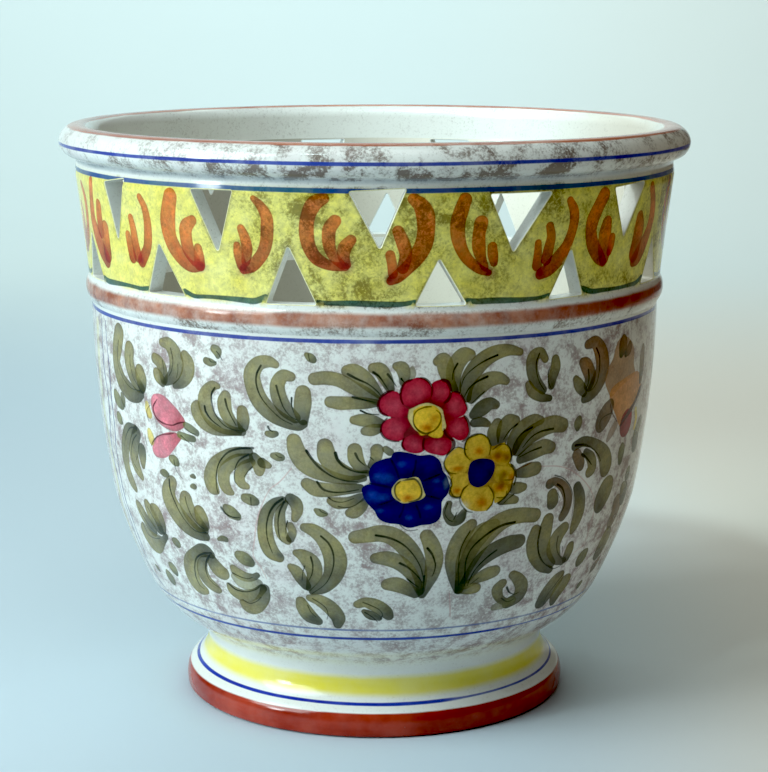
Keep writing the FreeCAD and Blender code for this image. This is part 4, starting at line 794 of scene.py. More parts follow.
def turn_run(shell, rows, points, normals, s0, theta, tile, flip=False):
    """Faces between rings of vertices. rows (section, angle) vertex numbers."""
    n_s, n_t = len(points), len(theta)
    s = s0 + lengths(points)
    i = np.arange(n_s - 1)[:, None]
    j = np.arange(n_t)[None]
    jn = (j + 1) % n_t
    faces = np.stack([rows[i, j], rows[i, jn], rows[i + 1, jn], rows[i + 1, j]], 2).reshape(-1, 4)
    st, ct = np.sin(theta), np.cos(theta)
    nrm = np.stack([normals[:, :1] * st[None], -normals[:, :1] * ct[None], normals[:, 1:] + 0 * st[None]], 2)
    cn = np.stack([nrm[i, j], nrm[i, jn], nrm[i + 1, jn], nrm[i + 1, j]], 2).reshape(-1, 4, 3)
    cs = np.stack([s[i] + 0 * j, s[i] + 0 * j, s[i + 1] + 0 * j, s[i + 1] + 0 * j], 2).reshape(-1, 4)
    jj = np.broadcast_to(j, (n_s - 1, n_t))
    ii = np.broadcast_to(i, (n_s - 1, n_t))
    c = np.stack([jj, jj + 1, jj + 1, jj], 2).reshape(-1, 4) / n_t
    k = np.stack([s[ii], s[ii], s[ii + 1], s[ii + 1]], 2).reshape(-1, 4)
    shell.add_faces(faces, cn, cs, tile(c, k))


def strips(count, lo, hi, s_lo, s_hi, gap=0.004):
    """A map that cuts the turn into sectors and stacks them between lo and hi."""
    def tile(c, s):
        mid = c.mean(1, keepdims=True)
        k = np.clip(np.floor(mid * count), 0, count - 1)
        u = c * count - k
        h = (hi - lo) / count
        v = (s - s_lo) / (s_hi - s_lo)
        return np.stack([0.012 + 0.976 * u, lo + (k + v) * h + gap * (1 - 2 * v)], 2)
    return tile


def turned_piece(name, runs, theta, sponge, before=None, after=None):
    """A whole piece from its runs. sponge(r, z, run) gives the sponging."""
    shell = Shell()
    total = sum(lengths(r)[-1] for r in runs)
    tile = strips(4, 0.005, 0.995, 0.0, total)
    rings, s0 = [], 0.0
    for k, r in enumerate(runs):
        pts = r[:-1]
        p = turn_points(pts, theta)
        sp = np.repeat(sponge(pts[:, 0], pts[:, 1], k), len(theta))
        rings.append(shell.add_verts(p.reshape(-1, 3), sponge=sp).reshape(len(pts), len(theta)))
    for k, r in enumerate(runs):
        rows = np.vstack([rings[k], rings[(k + 1) % len(runs)][:1]])
        b = before if k == 0 else None
        a = after if k == 0 else None
        turn_run(shell, rows, r, ring_normals(r, b, a), s0, theta, tile)
        s0 += lengths(r)[-1]
    return shell.build(name), total


# ---------------------------------------------------------------- brush marks
def spline(p, step=0.45):
    """A smooth line through the given points, evenly sampled."""
    p = np.asarray(p, float)
    if len(p) == 2:
        p = np.vstack([p[0], (p[0] + p[1]) / 2, p[1]])
    q = np.vstack([2 * p[0] - p[1], p, 2 * p[-1] - p[-2]])
    out = []
    t = np.linspace(0, 1, 14, endpoint=False)[:, None]
    for i in range(1, len(q) - 2):
        a, b, c, d = q[i - 1], q[i], q[i + 1], q[i + 2]
        out.append(0.5 * (2 * b + (c - a) * t + (2 * a - 5 * b + 4 * c - d) * t ** 2 + (3 * b - a - 3 * c + d) * t ** 3))
    out = np.vstack(out + [p[-1:]])
    s = lengths(out[:, :2])
    n = max(4, int(s[-1] / step) + 1)
    k = np.linspace(0, s[-1], n)
    return np.stack([np.interp(k, s, out[:, i]) for i in range(out.shape[1])], 1), s[-1]


class Mark:
    """One mark of the brush in the flat of the skin, in millimetres."""

    def __init__(self, kind, form, at, skin, seed, width=None, hub=None):
        self.kind, self.form, self.seed = kind, form, seed
        self.hub = None
        self.tol = 0.045
        # deep scales the colour of the mark; set below 1 it paints shade
        self.deep = 1.0
        self.levels = ()
        if form in ("spot", "wash"):
            az, z = at[0], at[1]
            self.kx = skin.radius(skin.along(z)) / skin.ref
            self.mid = np.array([math.radians(az) * skin.ref * self.kx, skin.along(z)])
            self.rad = np.array([at[2], at[2]]) if form == "spot" else np.array([at[2], at[3]])
            self.strength = 1.0 if form == "spot" else at[4]
            reach = self.rad * (1.6 if form == "spot" else 2.2)
            self.lo, self.hi = self.mid - reach, self.mid + reach
            return
        pts = np.array([q[:2] for q in at], float)
        s = np.array([skin.along(z) for z in pts[:, 1]])
        self.kx = float(np.mean([skin.radius(v) for v in s])) / skin.ref
        x = np.radians(pts[:, 0]) * skin.ref * self.kx
        flat = np.stack([x, s], 1)
        if form == "patch":
            flat, _ = spline(np.vstack([flat, flat[:1]]), 0.4)
            self.loop = flat[:-1]
            self.levels = (0.12, -0.12)
            self.mid = self.loop.mean(0)
            if hub is not None:
                self.hub = np.array([math.radians(hub[0]) * skin.ref * self.kx, skin.along(hub[1])])
            self.size = float(np.linalg.norm(self.loop - self.mid, axis=1).mean())
            self.lo, self.hi = self.loop.min(0) - 0.6, self.loop.max(0) + 0.6
            return
        if form == "stroke":
            w = np.array([q[2] for q in at], float)
            c, self.length = spline(np.column_stack([flat, w]), 0.5)
            self.c, self.hw = c[:, :2], np.maximum(c[:, 2], 0.5) / 2
            wide = self.hw.max()
            # the round end of the brush lies inside the traced run
            self.levels = (0.12, -0.12) + ((-0.85,) if wide > 1.7 else ())
        else:
            c, self.length = spline(flat, 0.4)
            self.c = c
            t = np.linspace(0, 1, len(c))
            if kind in ("V", "VR"):
                w = 0.8 * width * (1 - 0.5 * smooth(t, 0.0, 0.7)) * (1 - 0.35 * smooth(t, 0.8, 1.0))
                w = np.maximum(w, 0.3)
            else:
                n = value_noise(t * self.length / 3.0, t * 0, seed)
                w = width * (0.72 + 0.5 * n) * (0.55 + 0.45 * smooth(t, 0, 0.1) * smooth(1 - t, 0, 0.1))
                w = np.maximum(w, 0.3)
            self.hw = w / 2
            self.levels = (0.13, -0.1) if self.hw.max() > 0.34 else (0.13,)
        self.t = np.linspace(0, 1, len(self.c))
        m = self.hw.max() + 0.6
        self.lo, self.hi = self.c.min(0) - m, self.c.max(0) + m

    def field(self, q):
        """Distance outside the mark's edge, place along it, place across it."""
        if self.form == "patch":
            a = self.loop
            b = np.roll(a, -1, 0)
        else:
            a, b = self.c[:-1], self.c[1:]
        d = b - a
        l2 = np.maximum((d * d).sum(1), 1e-12)
        rel = q[:, None] - a[None]
        k = np.clip((rel * d[None]).sum(2) / l2[None], 0, 1)
        off = rel - k[:, :, None] * d[None]
        dist = np.sqrt((off * off).sum(2))
        if self.form == "patch":
            near = dist.min(1)
            x, y = q[:, 0:1], q[:, 1:2]
            cross = ((a[None, :, 1] > y) != (b[None, :, 1] > y)) & (
                x < d[None, :, 0] * (y - a[None, :, 1]) / np.where(np.abs(d[None, :, 1]) < 1e-9, 1e-9, d[None, :, 1]) + a[None, :, 0])
            inside = cross.sum(1) % 2 == 1
            return np.where(inside, -near, near), None, None
        hw = self.hw[None, :-1] * (1 - k) + self.hw[None, 1:] * k
        e = dist - hw
        i = e.argmin(1)
        r = np.arange(len(q))
        t = self.t[i] + k[r, i] * (self.t[1] - self.t[0])
        side = np.sign(d[i, 0] * rel[r, i, 1] - d[i, 1] * rel[r, i, 0])
        return e[r, i], t, side * dist[r, i]


def contours(mark):
    """The edges of a mark as closed runs of points, at each of its levels."""
    if not mark.levels:
        return []
    span = mark.hi - mark.lo
    h = 0.3 if mark.form != "line" else 0.26
    nx, ny = int(span[0] / h) + 2, int(span[1] / h) + 2
    gx, gy = mark.lo[0] + h * np.arange(nx), mark.lo[1] + h * np.arange(ny)
    q = np.stack(np.meshgrid(gx, gy, indexing="ij"), 2).reshape(-1, 2)
    f = np.concatenate([mark.field(part)[0] for part in np.array_split(q, max(1, len(q) // 4000))]).reshape(nx, ny)
    out = []
    for level in mark.levels:
        v = f - level
        v = np.where(np.abs(v) < 1e-6, 1e-6, v)
        neg = v < 0
        # crossings on the grid edges along x and along y
        cx = neg[:-1] != neg[1:]
        cy = neg[:, :-1] != neg[:, 1:]
        point = {}
        for i, j in zip(*np.nonzero(cx)):
            k = v[i, j] / (v[i, j] - v[i + 1, j])
            point[(0, i, j)] = (gx[i] + k * h, gy[j])
        for i, j in zip(*np.nonzero(cy)):
            k = v[i, j] / (v[i, j] - v[i, j + 1])
            point[(1, i, j)] = (gx[i], gy[j] + k * h)
        link = {}
        cells = cx[:, :-1] | cx[:, 1:] | cy[:-1] | cy[1:]
        for i, j in zip(*np.nonzero(cells)):
            e = [k for k in ((0, i, j), (1, i + 1, j), (0, i, j + 1), (1, i, j)) if k in point]
            if len(e) == 2:
                pairs = [(e[0], e[1])]
            elif len(e) == 4:
                if neg[i, j] == ((v[i, j] + v[i + 1, j] + v[i, j + 1] + v[i + 1, j + 1]) < 0):
                    pairs = [(e[0], e[1]), (e[2], e[3])]
                else:
                    pairs = [(e[0], e[3]), (e[1], e[2])]
            else:
                continue
            for a, b in pairs:
                link.setdefault(a, []).append(b)
                link.setdefault(b, []).append(a)
        left = set(link)
        for start in list(link):
            if start not in left:
                continue
            loop, at, last = [start], start, None
            left.discard(start)
            while True:
                nxt = [k for k in link[at] if k in left]
                if not nxt:
                    break
                last, at = at, nxt[0]
                left.discard(at)
                loop.append(at)
            if len(loop) > 5:
                out.append(thin(np.array([point[k] for k in loop]), mark.tol))
    return out


def thin(p, tol, most=2.8):
    """Fewer points on a closed run, none further than tol from the old line."""
    n = len(p)
    far = int(np.linalg.norm(p - p[0], axis=1).argmax())
    keep = {0, far}
    todo = [(0, far), (far, n)]
    closed = np.vstack([p, p[:1]])
    while todo:
        a, b = todo.pop()
        if b - a < 2:
            continue
        d = closed[b] - closed[a]
        l = np.hypot(*d)
        mid = closed[a + 1:b] - closed[a]
        off = np.abs(mid[:, 0] * d[1] - mid[:, 1] * d[0]) / l if l > 1e-9 else np.hypot(*mid.T)
        i = int(off.argmax())
        if off[i] > tol:
            k = a + 1 + i
        elif l > most:
            k = (a + b) // 2
        else:
            continue
        keep.add(k)
        todo += [(a, k), (k, b)]
    return p[sorted(k for k in keep if k < n)]


class Skin:
    """The painted side of a piece rolled out flat: x is the angle times a
    reference radius, y runs up the section."""

    def __init__(self, section, seam, ref):
        self.p = section
        self.s = lengths(section)
        self.height = self.s[-1]
        self.ref = ref
        self.seam = math.radians(seam)
        self.x0, self.x1 = self.seam * ref, (self.seam + 2 * math.pi) * ref

    def along(self, z):
        return float(np.interp(z, self.p[:, 1], self.s))

    def radius(self, s):
        return np.interp(s, self.s, self.p[:, 0])

    def level(self, s):
        return np.interp(s, self.s, self.p[:, 1])

    def wrap(self, marks):
        """Moves each mark to the turn that the skin is rolled out over."""
        for m in marks:
            turn = 2 * math.pi * self.ref * m.kx
            mid = (m.lo[0] + m.hi[0]) / 2
            k = math.floor((mid / m.kx - self.x0) / (2 * math.pi * self.ref))
            if k:
                for name in ("lo", "hi", "mid", "c", "loop", "hub"):
                    if getattr(m, name, None) is not None:
                        v = getattr(m, name).copy()
                        if v.ndim == 1:
                            v[0] -= k * turn
                        else:
                            v[:, 0] -= k * turn
                        setattr(m, name, v)

    def carried(self, marks):
        """Marks that lie across the seam are laid at both ends of the roll."""
        out = []
        for m in marks:
            out.append(m)
            for edge, way in ((self.x0, 1.0), (self.x1, -1.0)):
                if m.lo[0] / m.kx < edge + 0.5 and m.hi[0] / m.kx > edge - 0.5:
                    twin = copy.copy(m)
                    for name in ("lo", "hi", "mid", "c", "loop", "hub"):
                        if getattr(twin, name, None) is not None:
                            v = getattr(twin, name).copy()
                            if v.ndim == 1:
                                v[0] += way * 2 * math.pi * self.ref * m.kx
                            else:
                                v[:, 0] += way * 2 * math.pi * self.ref * m.kx
                            setattr(twin, name, v)
                    out.append(twin)
        return out

    def mesh(self, marks, spacing, holes=()):
        """A triangle mesh whose edges follow the marks. Returns flat points
        (x, y) and triangles; holes are closed runs that are left open."""
        pts, edges = [], []
        count = 0

        def chain(p, closed):
            nonlocal count
            k = len(p)
            pts.append(p)
            for i in range(k - (0 if closed else 1)):
                edges.append((count + i, count + (i + 1) % k))
            count += k

        off = [h.mean(0) + (h - h.mean(0)) * 1.06 for h in holes]

        def clear(p, q):
            """Which of the straight ways from p to q keep off the holes."""
            way = (p[:, None] + (q - p)[:, None] * np.linspace(0.0, 1.0, 9)[None, :, None]).reshape(-1, 2)
            hit = np.zeros(len(way), bool)
            for h in off:
                near = np.nonzero((way >= h.min(0)).all(1) & (way <= h.max(0)).all(1))[0]
                if len(near):
                    hit[near] |= in_loop_many(way[near], h)
            return ~hit.reshape(len(p), 9).any(1)

        def draw(p, closed):
            """A chain that leaves off where it would run into a hole."""
            way = clear(p, np.roll(p, -1, 0))
            if not closed:
                way[-1] = False
            if way.all():
                chain(p, True)
                return
            k = int(np.nonzero(~way)[0][-1]) + 1
            p, way = np.roll(p, -k, 0), np.roll(way, -k)
            start = 0
            for i in np.nonzero(~way)[0]:
                if i > start:
                    chain(p[start:i + 1], False)
                start = i + 1

        def inside(p):
            return (p[:, 0] > self.x0 + 0.4) & (p[:, 0] < self.x1 - 0.4) & (p[:, 1] > 0.4) & (p[:, 1] < self.height - 0.4)

        xs = np.linspace(self.x0, self.x1, COLUMNS + 1)
        rows = max(2, int(self.height / spacing + 0.5))
        ys = np.linspace(0, self.height, rows + 1)
        frame_run = np.vstack([
            np.stack([xs, 0 * xs], 1), np.stack([0 * ys[1:] + self.x1, ys[1:]], 1),
            np.stack([xs[::-1][1:], 0 * xs[1:] + self.height], 1), np.stack([0 * ys[1:-1] + self.x0, ys[::-1][1:-1]], 1)])
        chain(frame_run, True)
        for h in holes:
            chain(h, True)
        fine = []
        for m in marks:
            for loop in contours(m):
                loop = loop / np.array([m.kx, 1.0])
                ok = inside(loop)
                if ok.all():
                    draw(loop, True)
                else:
                    fine.append(loop[ok])
            if m.form == "line":
                c = m.c[::3] if len(m.c) > 6 else m.c
                c = c / np.array([m.kx, 1.0])
                if inside(c).all():
                    draw(c, False)
            elif m.form == "patch":
                g = 0.85
                ax = np.arange(m.lo[0], m.hi[0], g)
                ay = np.arange(m.lo[1], m.hi[1], g * 0.87)
                q = np.stack(np.meshgrid(ax, ay, indexing="ij"), 2)
                q[:, 1::2, 0] += g / 2
                q = q.reshape(-1, 2)
                q = q[m.field(q)[0] < -0.45]
                fine.append(q / np.array([m.kx, 1.0]))
            elif m.form == "spot":
                a = np.arange(8) * math.pi / 4
                ring = np.stack([np.cos(a), np.sin(a)], 1)
                q = np.vstack([m.mid[None], m.mid + 0.5 * m.rad * ring, m.mid + m.rad * ring, m.mid + 1.4 * m.rad * ring])
                fine.append(q / np.array([m.kx, 1.0]))
        # an even lattice fills the rest, kept off the drawn edges
        row_gap = spacing * 0.87
        n_rows = int(self.height / row_gap + 0.5)
        lattice = []
        step = (self.x1 - self.x0) / round((self.x1 - self.x0) / spacing)
        for r in range(1, n_rows):
            x = np.arange(self.x0 + (0.5 + 0.5 * (r % 2)) * step, self.x1 - 0.3 * step, step)
            lattice.append(np.stack([x, 0 * x + r * self.height / n_rows], 1))
        fine += lattice
        drawn = np.vstack(pts)
        tree = kdtree.KDTree(len(drawn) + sum(len(f) for f in fine))
        for i, p in enumerate(drawn):
            tree.insert((p[0], p[1], 0.0), i)
        tree.balance()
        loose = []
        cells = {}
        for group in fine:
            gap = 0.38 if group is not lattice else 0.5
            for p in group[inside(group)] if len(group) else ():
                if tree.find((p[0], p[1], 0.0))[2] < gap:
                    continue
                key = (int(p[0] / 0.5), int(p[1] / 0.5))
                if key in cells:
                    continue
                cells[key] = 1
                loose.append(p)
        if holes:
            loose = [p for p in loose if not any(in_loop(p, h) for h in holes)]
        allp = np.vstack([drawn, np.array(loose)])
        v, _, faces, _, _, _ = delaunay_2d_cdt([Vector(p) for p in allp], edges, [], 0, 1e-4, False)
        v = np.array([tuple(p) for p in v])
        f = np.array([tuple(t) for t in faces])
        if holes:
            mid = v[f].mean(1)
            bad = np.zeros(len(f), bool)
            for h in holes:
                lo, hi = h.min(0), h.max(0)
                near = np.nonzero((mid >= lo).all(1) & (mid <= hi).all(1))[0]
                bad[near] |= in_loop_many(mid[near], h)
            f = f[~bad]
        a, b, c = v[f[:, 0]], v[f[:, 1]], v[f[:, 2]]
        area = (b[:, 0] - a[:, 0]) * (c[:, 1] - a[:, 1]) - (b[:, 1] - a[:, 1]) * (c[:, 0] - a[:, 0])
        f[area < 0] = f[area < 0][:, ::-1]
        return v, f

    def paint(self, v, marks, ground=None):
        """Premultiplied colour and cover of the brushwork at flat points v."""
        out = np.zeros((len(v), 4)) if ground is None else ground.copy()
        for m in marks:
            q = v * np.array([m.kx, 1.0])
            idx = np.nonzero((q[:, 0] > m.lo[0]) & (q[:, 0] < m.hi[0]) & (q[:, 1] > m.lo[1]) & (q[:, 1] < m.hi[1]))[0]
            if len(idx) == 0:
                continue
            q = q[idx]
            start, end, cover = PIGMENT[m.kind]
            start, end = np.array(start), np.array(end)
            if m.form in ("spot", "wash"):
                r = np.sqrt((((q - m.mid) / m.rad) ** 2).sum(1))
                n = value_noise((q[:, 0] - m.mid[0]) * 0.9, q[:, 1] * 0.9, m.seed)
                a = np.exp(-(r * (0.8 + 0.4 * n)) ** 2 * 1.1) * m.strength * (r < 2.2)
                a = a * np.clip(out[idx, 3] * 1.15, 0, 1)  # only where paint lies already
                old = out[idx]
                out[idx, :3] = old[:, :3] * (1 - a)[:, None] + (a * old[:, 3])[:, None] * start
                continue
            e, t, across = m.field(q)
            if m.form == "line":
                a = np.clip((0.13 - e) / 0.2, 0, 1)
                c = start * (1 - t)[:, None] + end * t[:, None]
                n = value_noise(t * m.length / 2.5, 0 * t, m.seed)
                a = a * cover * (0.82 + 0.18 * n)
            elif m.form == "patch":
                a = np.clip(0.5 - e / 0.24, 0, 1)
                deep = -e
                n = value_noise((q[:, 0] - m.lo[0]) * 0.55, q[:, 1] * 0.55, m.seed)
                tone = 1.0 + 0.22 * (n - 0.5) - 0.16 * np.exp(-np.maximum(deep, 0) / 0.5)
                c = start[None] * tone[:, None]
                if m.kind == "RP":
                    # each petal is paler in the middle and outer half
                    pale = np.exp(-(((q - m.mid) / (0.62 * m.size)) ** 2).sum(1)) * (0.5 + 0.5 * n)
                    c = c * (1 - 0.55 * pale[:, None]) + np.array(srgb(208, 98, 116)) * 0.55 * pale[:, None]
                if m.kind == "RP" and m.hub is not None:
                    near = 1 - smooth(np.linalg.norm(q - m.hub, axis=1), 6.0, 10.5)
                    c = c * (1 - 0.6 * near)[:, None] + np.array(srgb(120, 8, 24)) * (0.4 * near)[:, None]
                a = a * cover
            else:
                a = np.clip(0.5 - e / 0.24, 0, 1)
                deep = np.maximum(-e, 0)
                k = smooth(t, 0.25, 1.0) if m.kind != "LR" else smooth(t, 0.0, 0.75)
                c = start * (1 - k)[:, None] + end * k[:, None]
                n = value_noise(across * 1.3 + 7.0, t * m.length / 6.0, m.seed)
                g = value_noise((q[:, 0] - m.lo[0]) * 0.35, q[:, 1] * 0.35, m.seed + 3.1)
                tone = 1.0 + 0.34 * (n - 0.5) + 0.42 * (g - 0.5) - 0.36 * np.exp(-deep / 0.42)
                if m.kind[0] in "LD":
                    # the first touch of the brush leaves a browner rim
                    tip = (t if m.kind != "LR" else 1 - t) * m.length
                    brown = 0.55 * np.exp(-tip / 1.8) * np.exp(-deep / 1.0)
                    c = c * (1 - brown)[:, None] + np.array(srgb(104, 82, 42)) * brown[:, None]
                tone *= 1 - 0.1 * out[idx, 3]
                c = c * tone[:, None]
                a = a * cover * (0.9 + 0.1 * n)
            # marks with deep below 1 come out darker: painted shade
            c = c * m.deep
            old = out[idx]
            out[idx, :3] = old[:, :3] * (1 - a)[:, None] + c * a[:, None]
            out[idx, 3] = old[:, 3] * (1 - a) + a
        return out


def in_loop_many(q, loop):
    a, b = loop, np.roll(loop, -1, 0)
    x, y = q[:, 0:1], q[:, 1:2]
    dy = b[:, 1] - a[:, 1]
    dy = np.where(np.abs(dy) < 1e-12, 1e-12, dy)
    cross = ((a[None, :, 1] > y) != (b[None, :, 1] > y)) & (x < (b - a)[None, :, 0] * (y - a[None, :, 1]) / dy[None] + a[None, :, 0])
    return cross.sum(1) % 2 == 1


def in_loop(p, loop):
    if (p < loop.min(0)).any() or (p > loop.max(0)).any():
        return False
    return bool(in_loop_many(p[None], loop)[0])


def skin_to_shell(shell, skin, v, f, paint, sponge, normals_rz, tile, s0, first_ring=None, last_ring=None, inward=False):
    """Puts a flat mesh back on the pot. The rings at the two ends of the
    section may be vertices that the shell has already. Returns the vertex
    numbers of the flat points."""
    s = np.clip(v[:, 1], 0, skin.height)
    th = v[:, 0] / skin.ref
    r, z = skin.radius(s), skin.level(s)
    pos = np.stack([r * np.sin(th), -r * np.cos(th), z], 1)
    nr = np.interp(s, skin.s, normals_rz[:, 0])
    nz = np.interp(s, skin.s, normals_rz[:, 1])
    nrm = np.stack([nr * np.sin(th), -nr * np.cos(th), nz], 1)
    number = shell.add_verts(pos, paint, sponge)
    # close the seam and tie the end rings
    right = np.nonzero(v[:, 0] > skin.x1 - 1e-3)[0]
    left = np.nonzero(v[:, 0] < skin.x0 + 1e-3)[0]
    left = left[np.argsort(v[left, 1])]
    right = right[np.argsort(v[right, 1])]
    if len(left) != len(right) or np.abs(v[left, 1] - v[right, 1]).max() > 1e-3:
        raise RuntimeError("the seam does not meet")
    number[right] = number[left]
    for y, ring in ((0.0, first_ring), (skin.height, last_ring)):
        if ring is None:
            continue
        at = np.nonzero(np.abs(v[:, 1] - y) < 1e-3)[0]
        col = np.rint((v[at, 0] - skin.x0) / (skin.x1 - skin.x0) * COLUMNS).astype(int) % COLUMNS
        number[at] = ring[col]
    faces = number[f]
    c = (v[f][:, :, 0] - skin.x0) / (skin.x1 - skin.x0)
    sv = s[f]
    shell.add_faces(faces, nrm[f], s0 + sv, tile(c, sv))
    return number


# --------------------------------------------------------------- the bouquets
FRONT_MID, BACK_MID = 12.0, 194.0
BOUQUET = {"g1", "j1", "j2", "h1", "h2", "k1", "k1l", "red", "blue", "yellow"}


def moved(item, shift):
    """The same mark with each of its points put through shift(az, z)."""
    kind, form, at = item[0], item[1], item[2]
    if form in ("spot", "wash"):
        az, z = shift(at[0], at[1])
        new = (az, z) + tuple(at[2:])
    else:
        new = tuple(shift(q[0], q[1]) + tuple(q[2:]) for q in at)
    return (kind, form, new) + tuple(item[3:])


def points_of(items):
    out = []
    for it in items:
        out += [it[2][:2]] if it[1] in ("spot", "wash") else [q[:2] for q in it[2]]
    return np.array(out, float)


BLUE_LOBES = [(5.53, 109.4), (10.69, 109.1), (1.32, 107.0), (0.41, 99.2), (2.68, 93.0), (7.28, 91.0), (11.18, 94.2), (12.2, 101.1)]
BLUE_GAPS = [((7.96, 111.9), (7.35, 105.9)), ((3.3, 112.1), (4.88, 105.1)), ((-0.7, 103.5), (3.78, 101.7)), ((1.08, 95.6), (4.25, 97.7)),
             ((4.98, 90.7), (5.86, 95.5)), ((9.15, 90.4), (8.15, 95.3)), ((12.75, 97.1), (9.93, 98.7)), ((12.57, 106.3), (9.4, 104.0))]
BLUE_GLINTS = [(-0.26, 99.6), (1.31, 93.4), (6.82, 90.6), (5.21, 110.3), (0.87, 106.1), (10.57, 94.3), (11.92, 103.8)]
YELLOW_BASE = ((13.62, 111.4), (15.2, 113.1), (17.14, 113.6), (17.33, 117.8), (18.8, 119.5), (20.98, 119.5), (22.51, 115.3), (25.22, 115.9),
               (26.79, 112.0), (26.65, 108.1), (27.88, 103.9), (27.58, 99.6), (26.81, 97.1), (23.97, 96.3), (23.61, 93.3), (21.63, 91.9),
               (19.09, 93.2), (17.23, 96.3), (16.5, 98.2), (14.48, 99.1), (15.04, 103.4), (14.18, 106.1), (13.53, 108.8))
BROWN = [(25.93, 110.4, 1.9, 2.2, 0.6), (25.67, 104.4, 1.7, 1.8, 0.5), (25.31, 100.9, 2.0, 1.8, 0.6), (23.86, 111.7, 1.8, 1.6, 0.45)]
DIVIDER = [(((-68.18, 150.6), (-68.18, 142.9), (-68.43, 131.5), (-67.31, 120.4), (-69.08, 108.3), (-70.36, 100.0), (-68.95, 84.9), (-67.86, 73.4),
             (-68.51, 56.9), (-62.57, 47.8)), 0.95),
           (((-65.4, 150.6), (-65.28, 143.8), (-64.74, 132.7), (-65.09, 121.2), (-65.37, 109.6), (-66.6, 101.5), (-67.02, 85.7), (-65.78, 74.3),
             (-65.85, 58.0)), 0.85)]
YELLOW_LINES = [
    ((17.3, 112.9), (17.23, 116.1), (17.96, 119.0), (19.54, 120.1), (21.38, 118.8), (22.4, 115.6), (22.2, 112.2)),
    ((17.59, 114.6), (15.57, 115.7), (13.91, 113.3), (13.32, 110.1), (14.21, 107.0), (15.77, 106.0)),
    ((15.0, 104.9), (14.61, 101.7), (15.36, 98.1), (16.96, 97.3)),
    ((22.79, 113.8), (24.43, 115.5), (26.08, 114.7), (26.98, 111.1), (26.32, 108.3)),
    ((26.49, 108.0), (27.82, 105.2), (27.55, 102.2), (25.71, 102.3)),
    ((27.57, 101.8), (27.31, 98.3), (26.17, 95.9), (24.3, 96.0)),
]
RED_HUB = (9.84, 125.8)


def add_detail():
    """Petals within the blue and the yellow flower."""
    blue = PANEL["blue"]
    at = next(i for i, it in enumerate(blue) if it[0] == "WH")
    more = [("BM", "wash", (a, z, 2.3, 2.3, 0.5)) for a, z in BLUE_LOBES]
    more += [("VB", "line", (p, ((p[0] + q[0]) / 2 + 0.15, (p[1] + q[1]) / 2), q), 0.8) for p, q in BLUE_GAPS]
    more += [("BL", "wash", (a, z, 1.4, 0.9, 0.55)) for a, z in BLUE_GLINTS]
    PANEL["blue"] = blue[:at] + more + blue[at:]
    yellow = PANEL["yellow"]
    at = next(i for i, it in enumerate(yellow) if it[0] == "BD")
    PANEL["yellow"] = [("YB", "patch", YELLOW_BASE)] + yellow[:at] + [("BR", "wash", b[:4] + (min(1.0, b[4] + 0.28),)) for b in BROWN] + [("VG", "line", p, 0.5) for p in YELLOW_LINES] + yellow[at:]


add_detail()


def trimmed(at):
    """A stroke near the turn of the pot with its round ends drawn in, as its
    width was seen foreshortened there."""
    p = [list(q) for q in at]
    for a, b in ((0, 1), (-1, -2)):
        cut = 0.5 * p[a][2] * (1 - math.cos(math.radians(p[a][0])))
        dx, dy = (p[b][0] - p[a][0]) * 1.8, p[b][1] - p[a][1]
        far = math.hypot(dx, dy)
        k = min(0.6, cut / far) if far > 1e-6 else 0.0
        p[a][0] += k * (p[b][0] - p[a][0])
        p[a][1] += k * dy
    return tuple(tuple(q) for q in p)


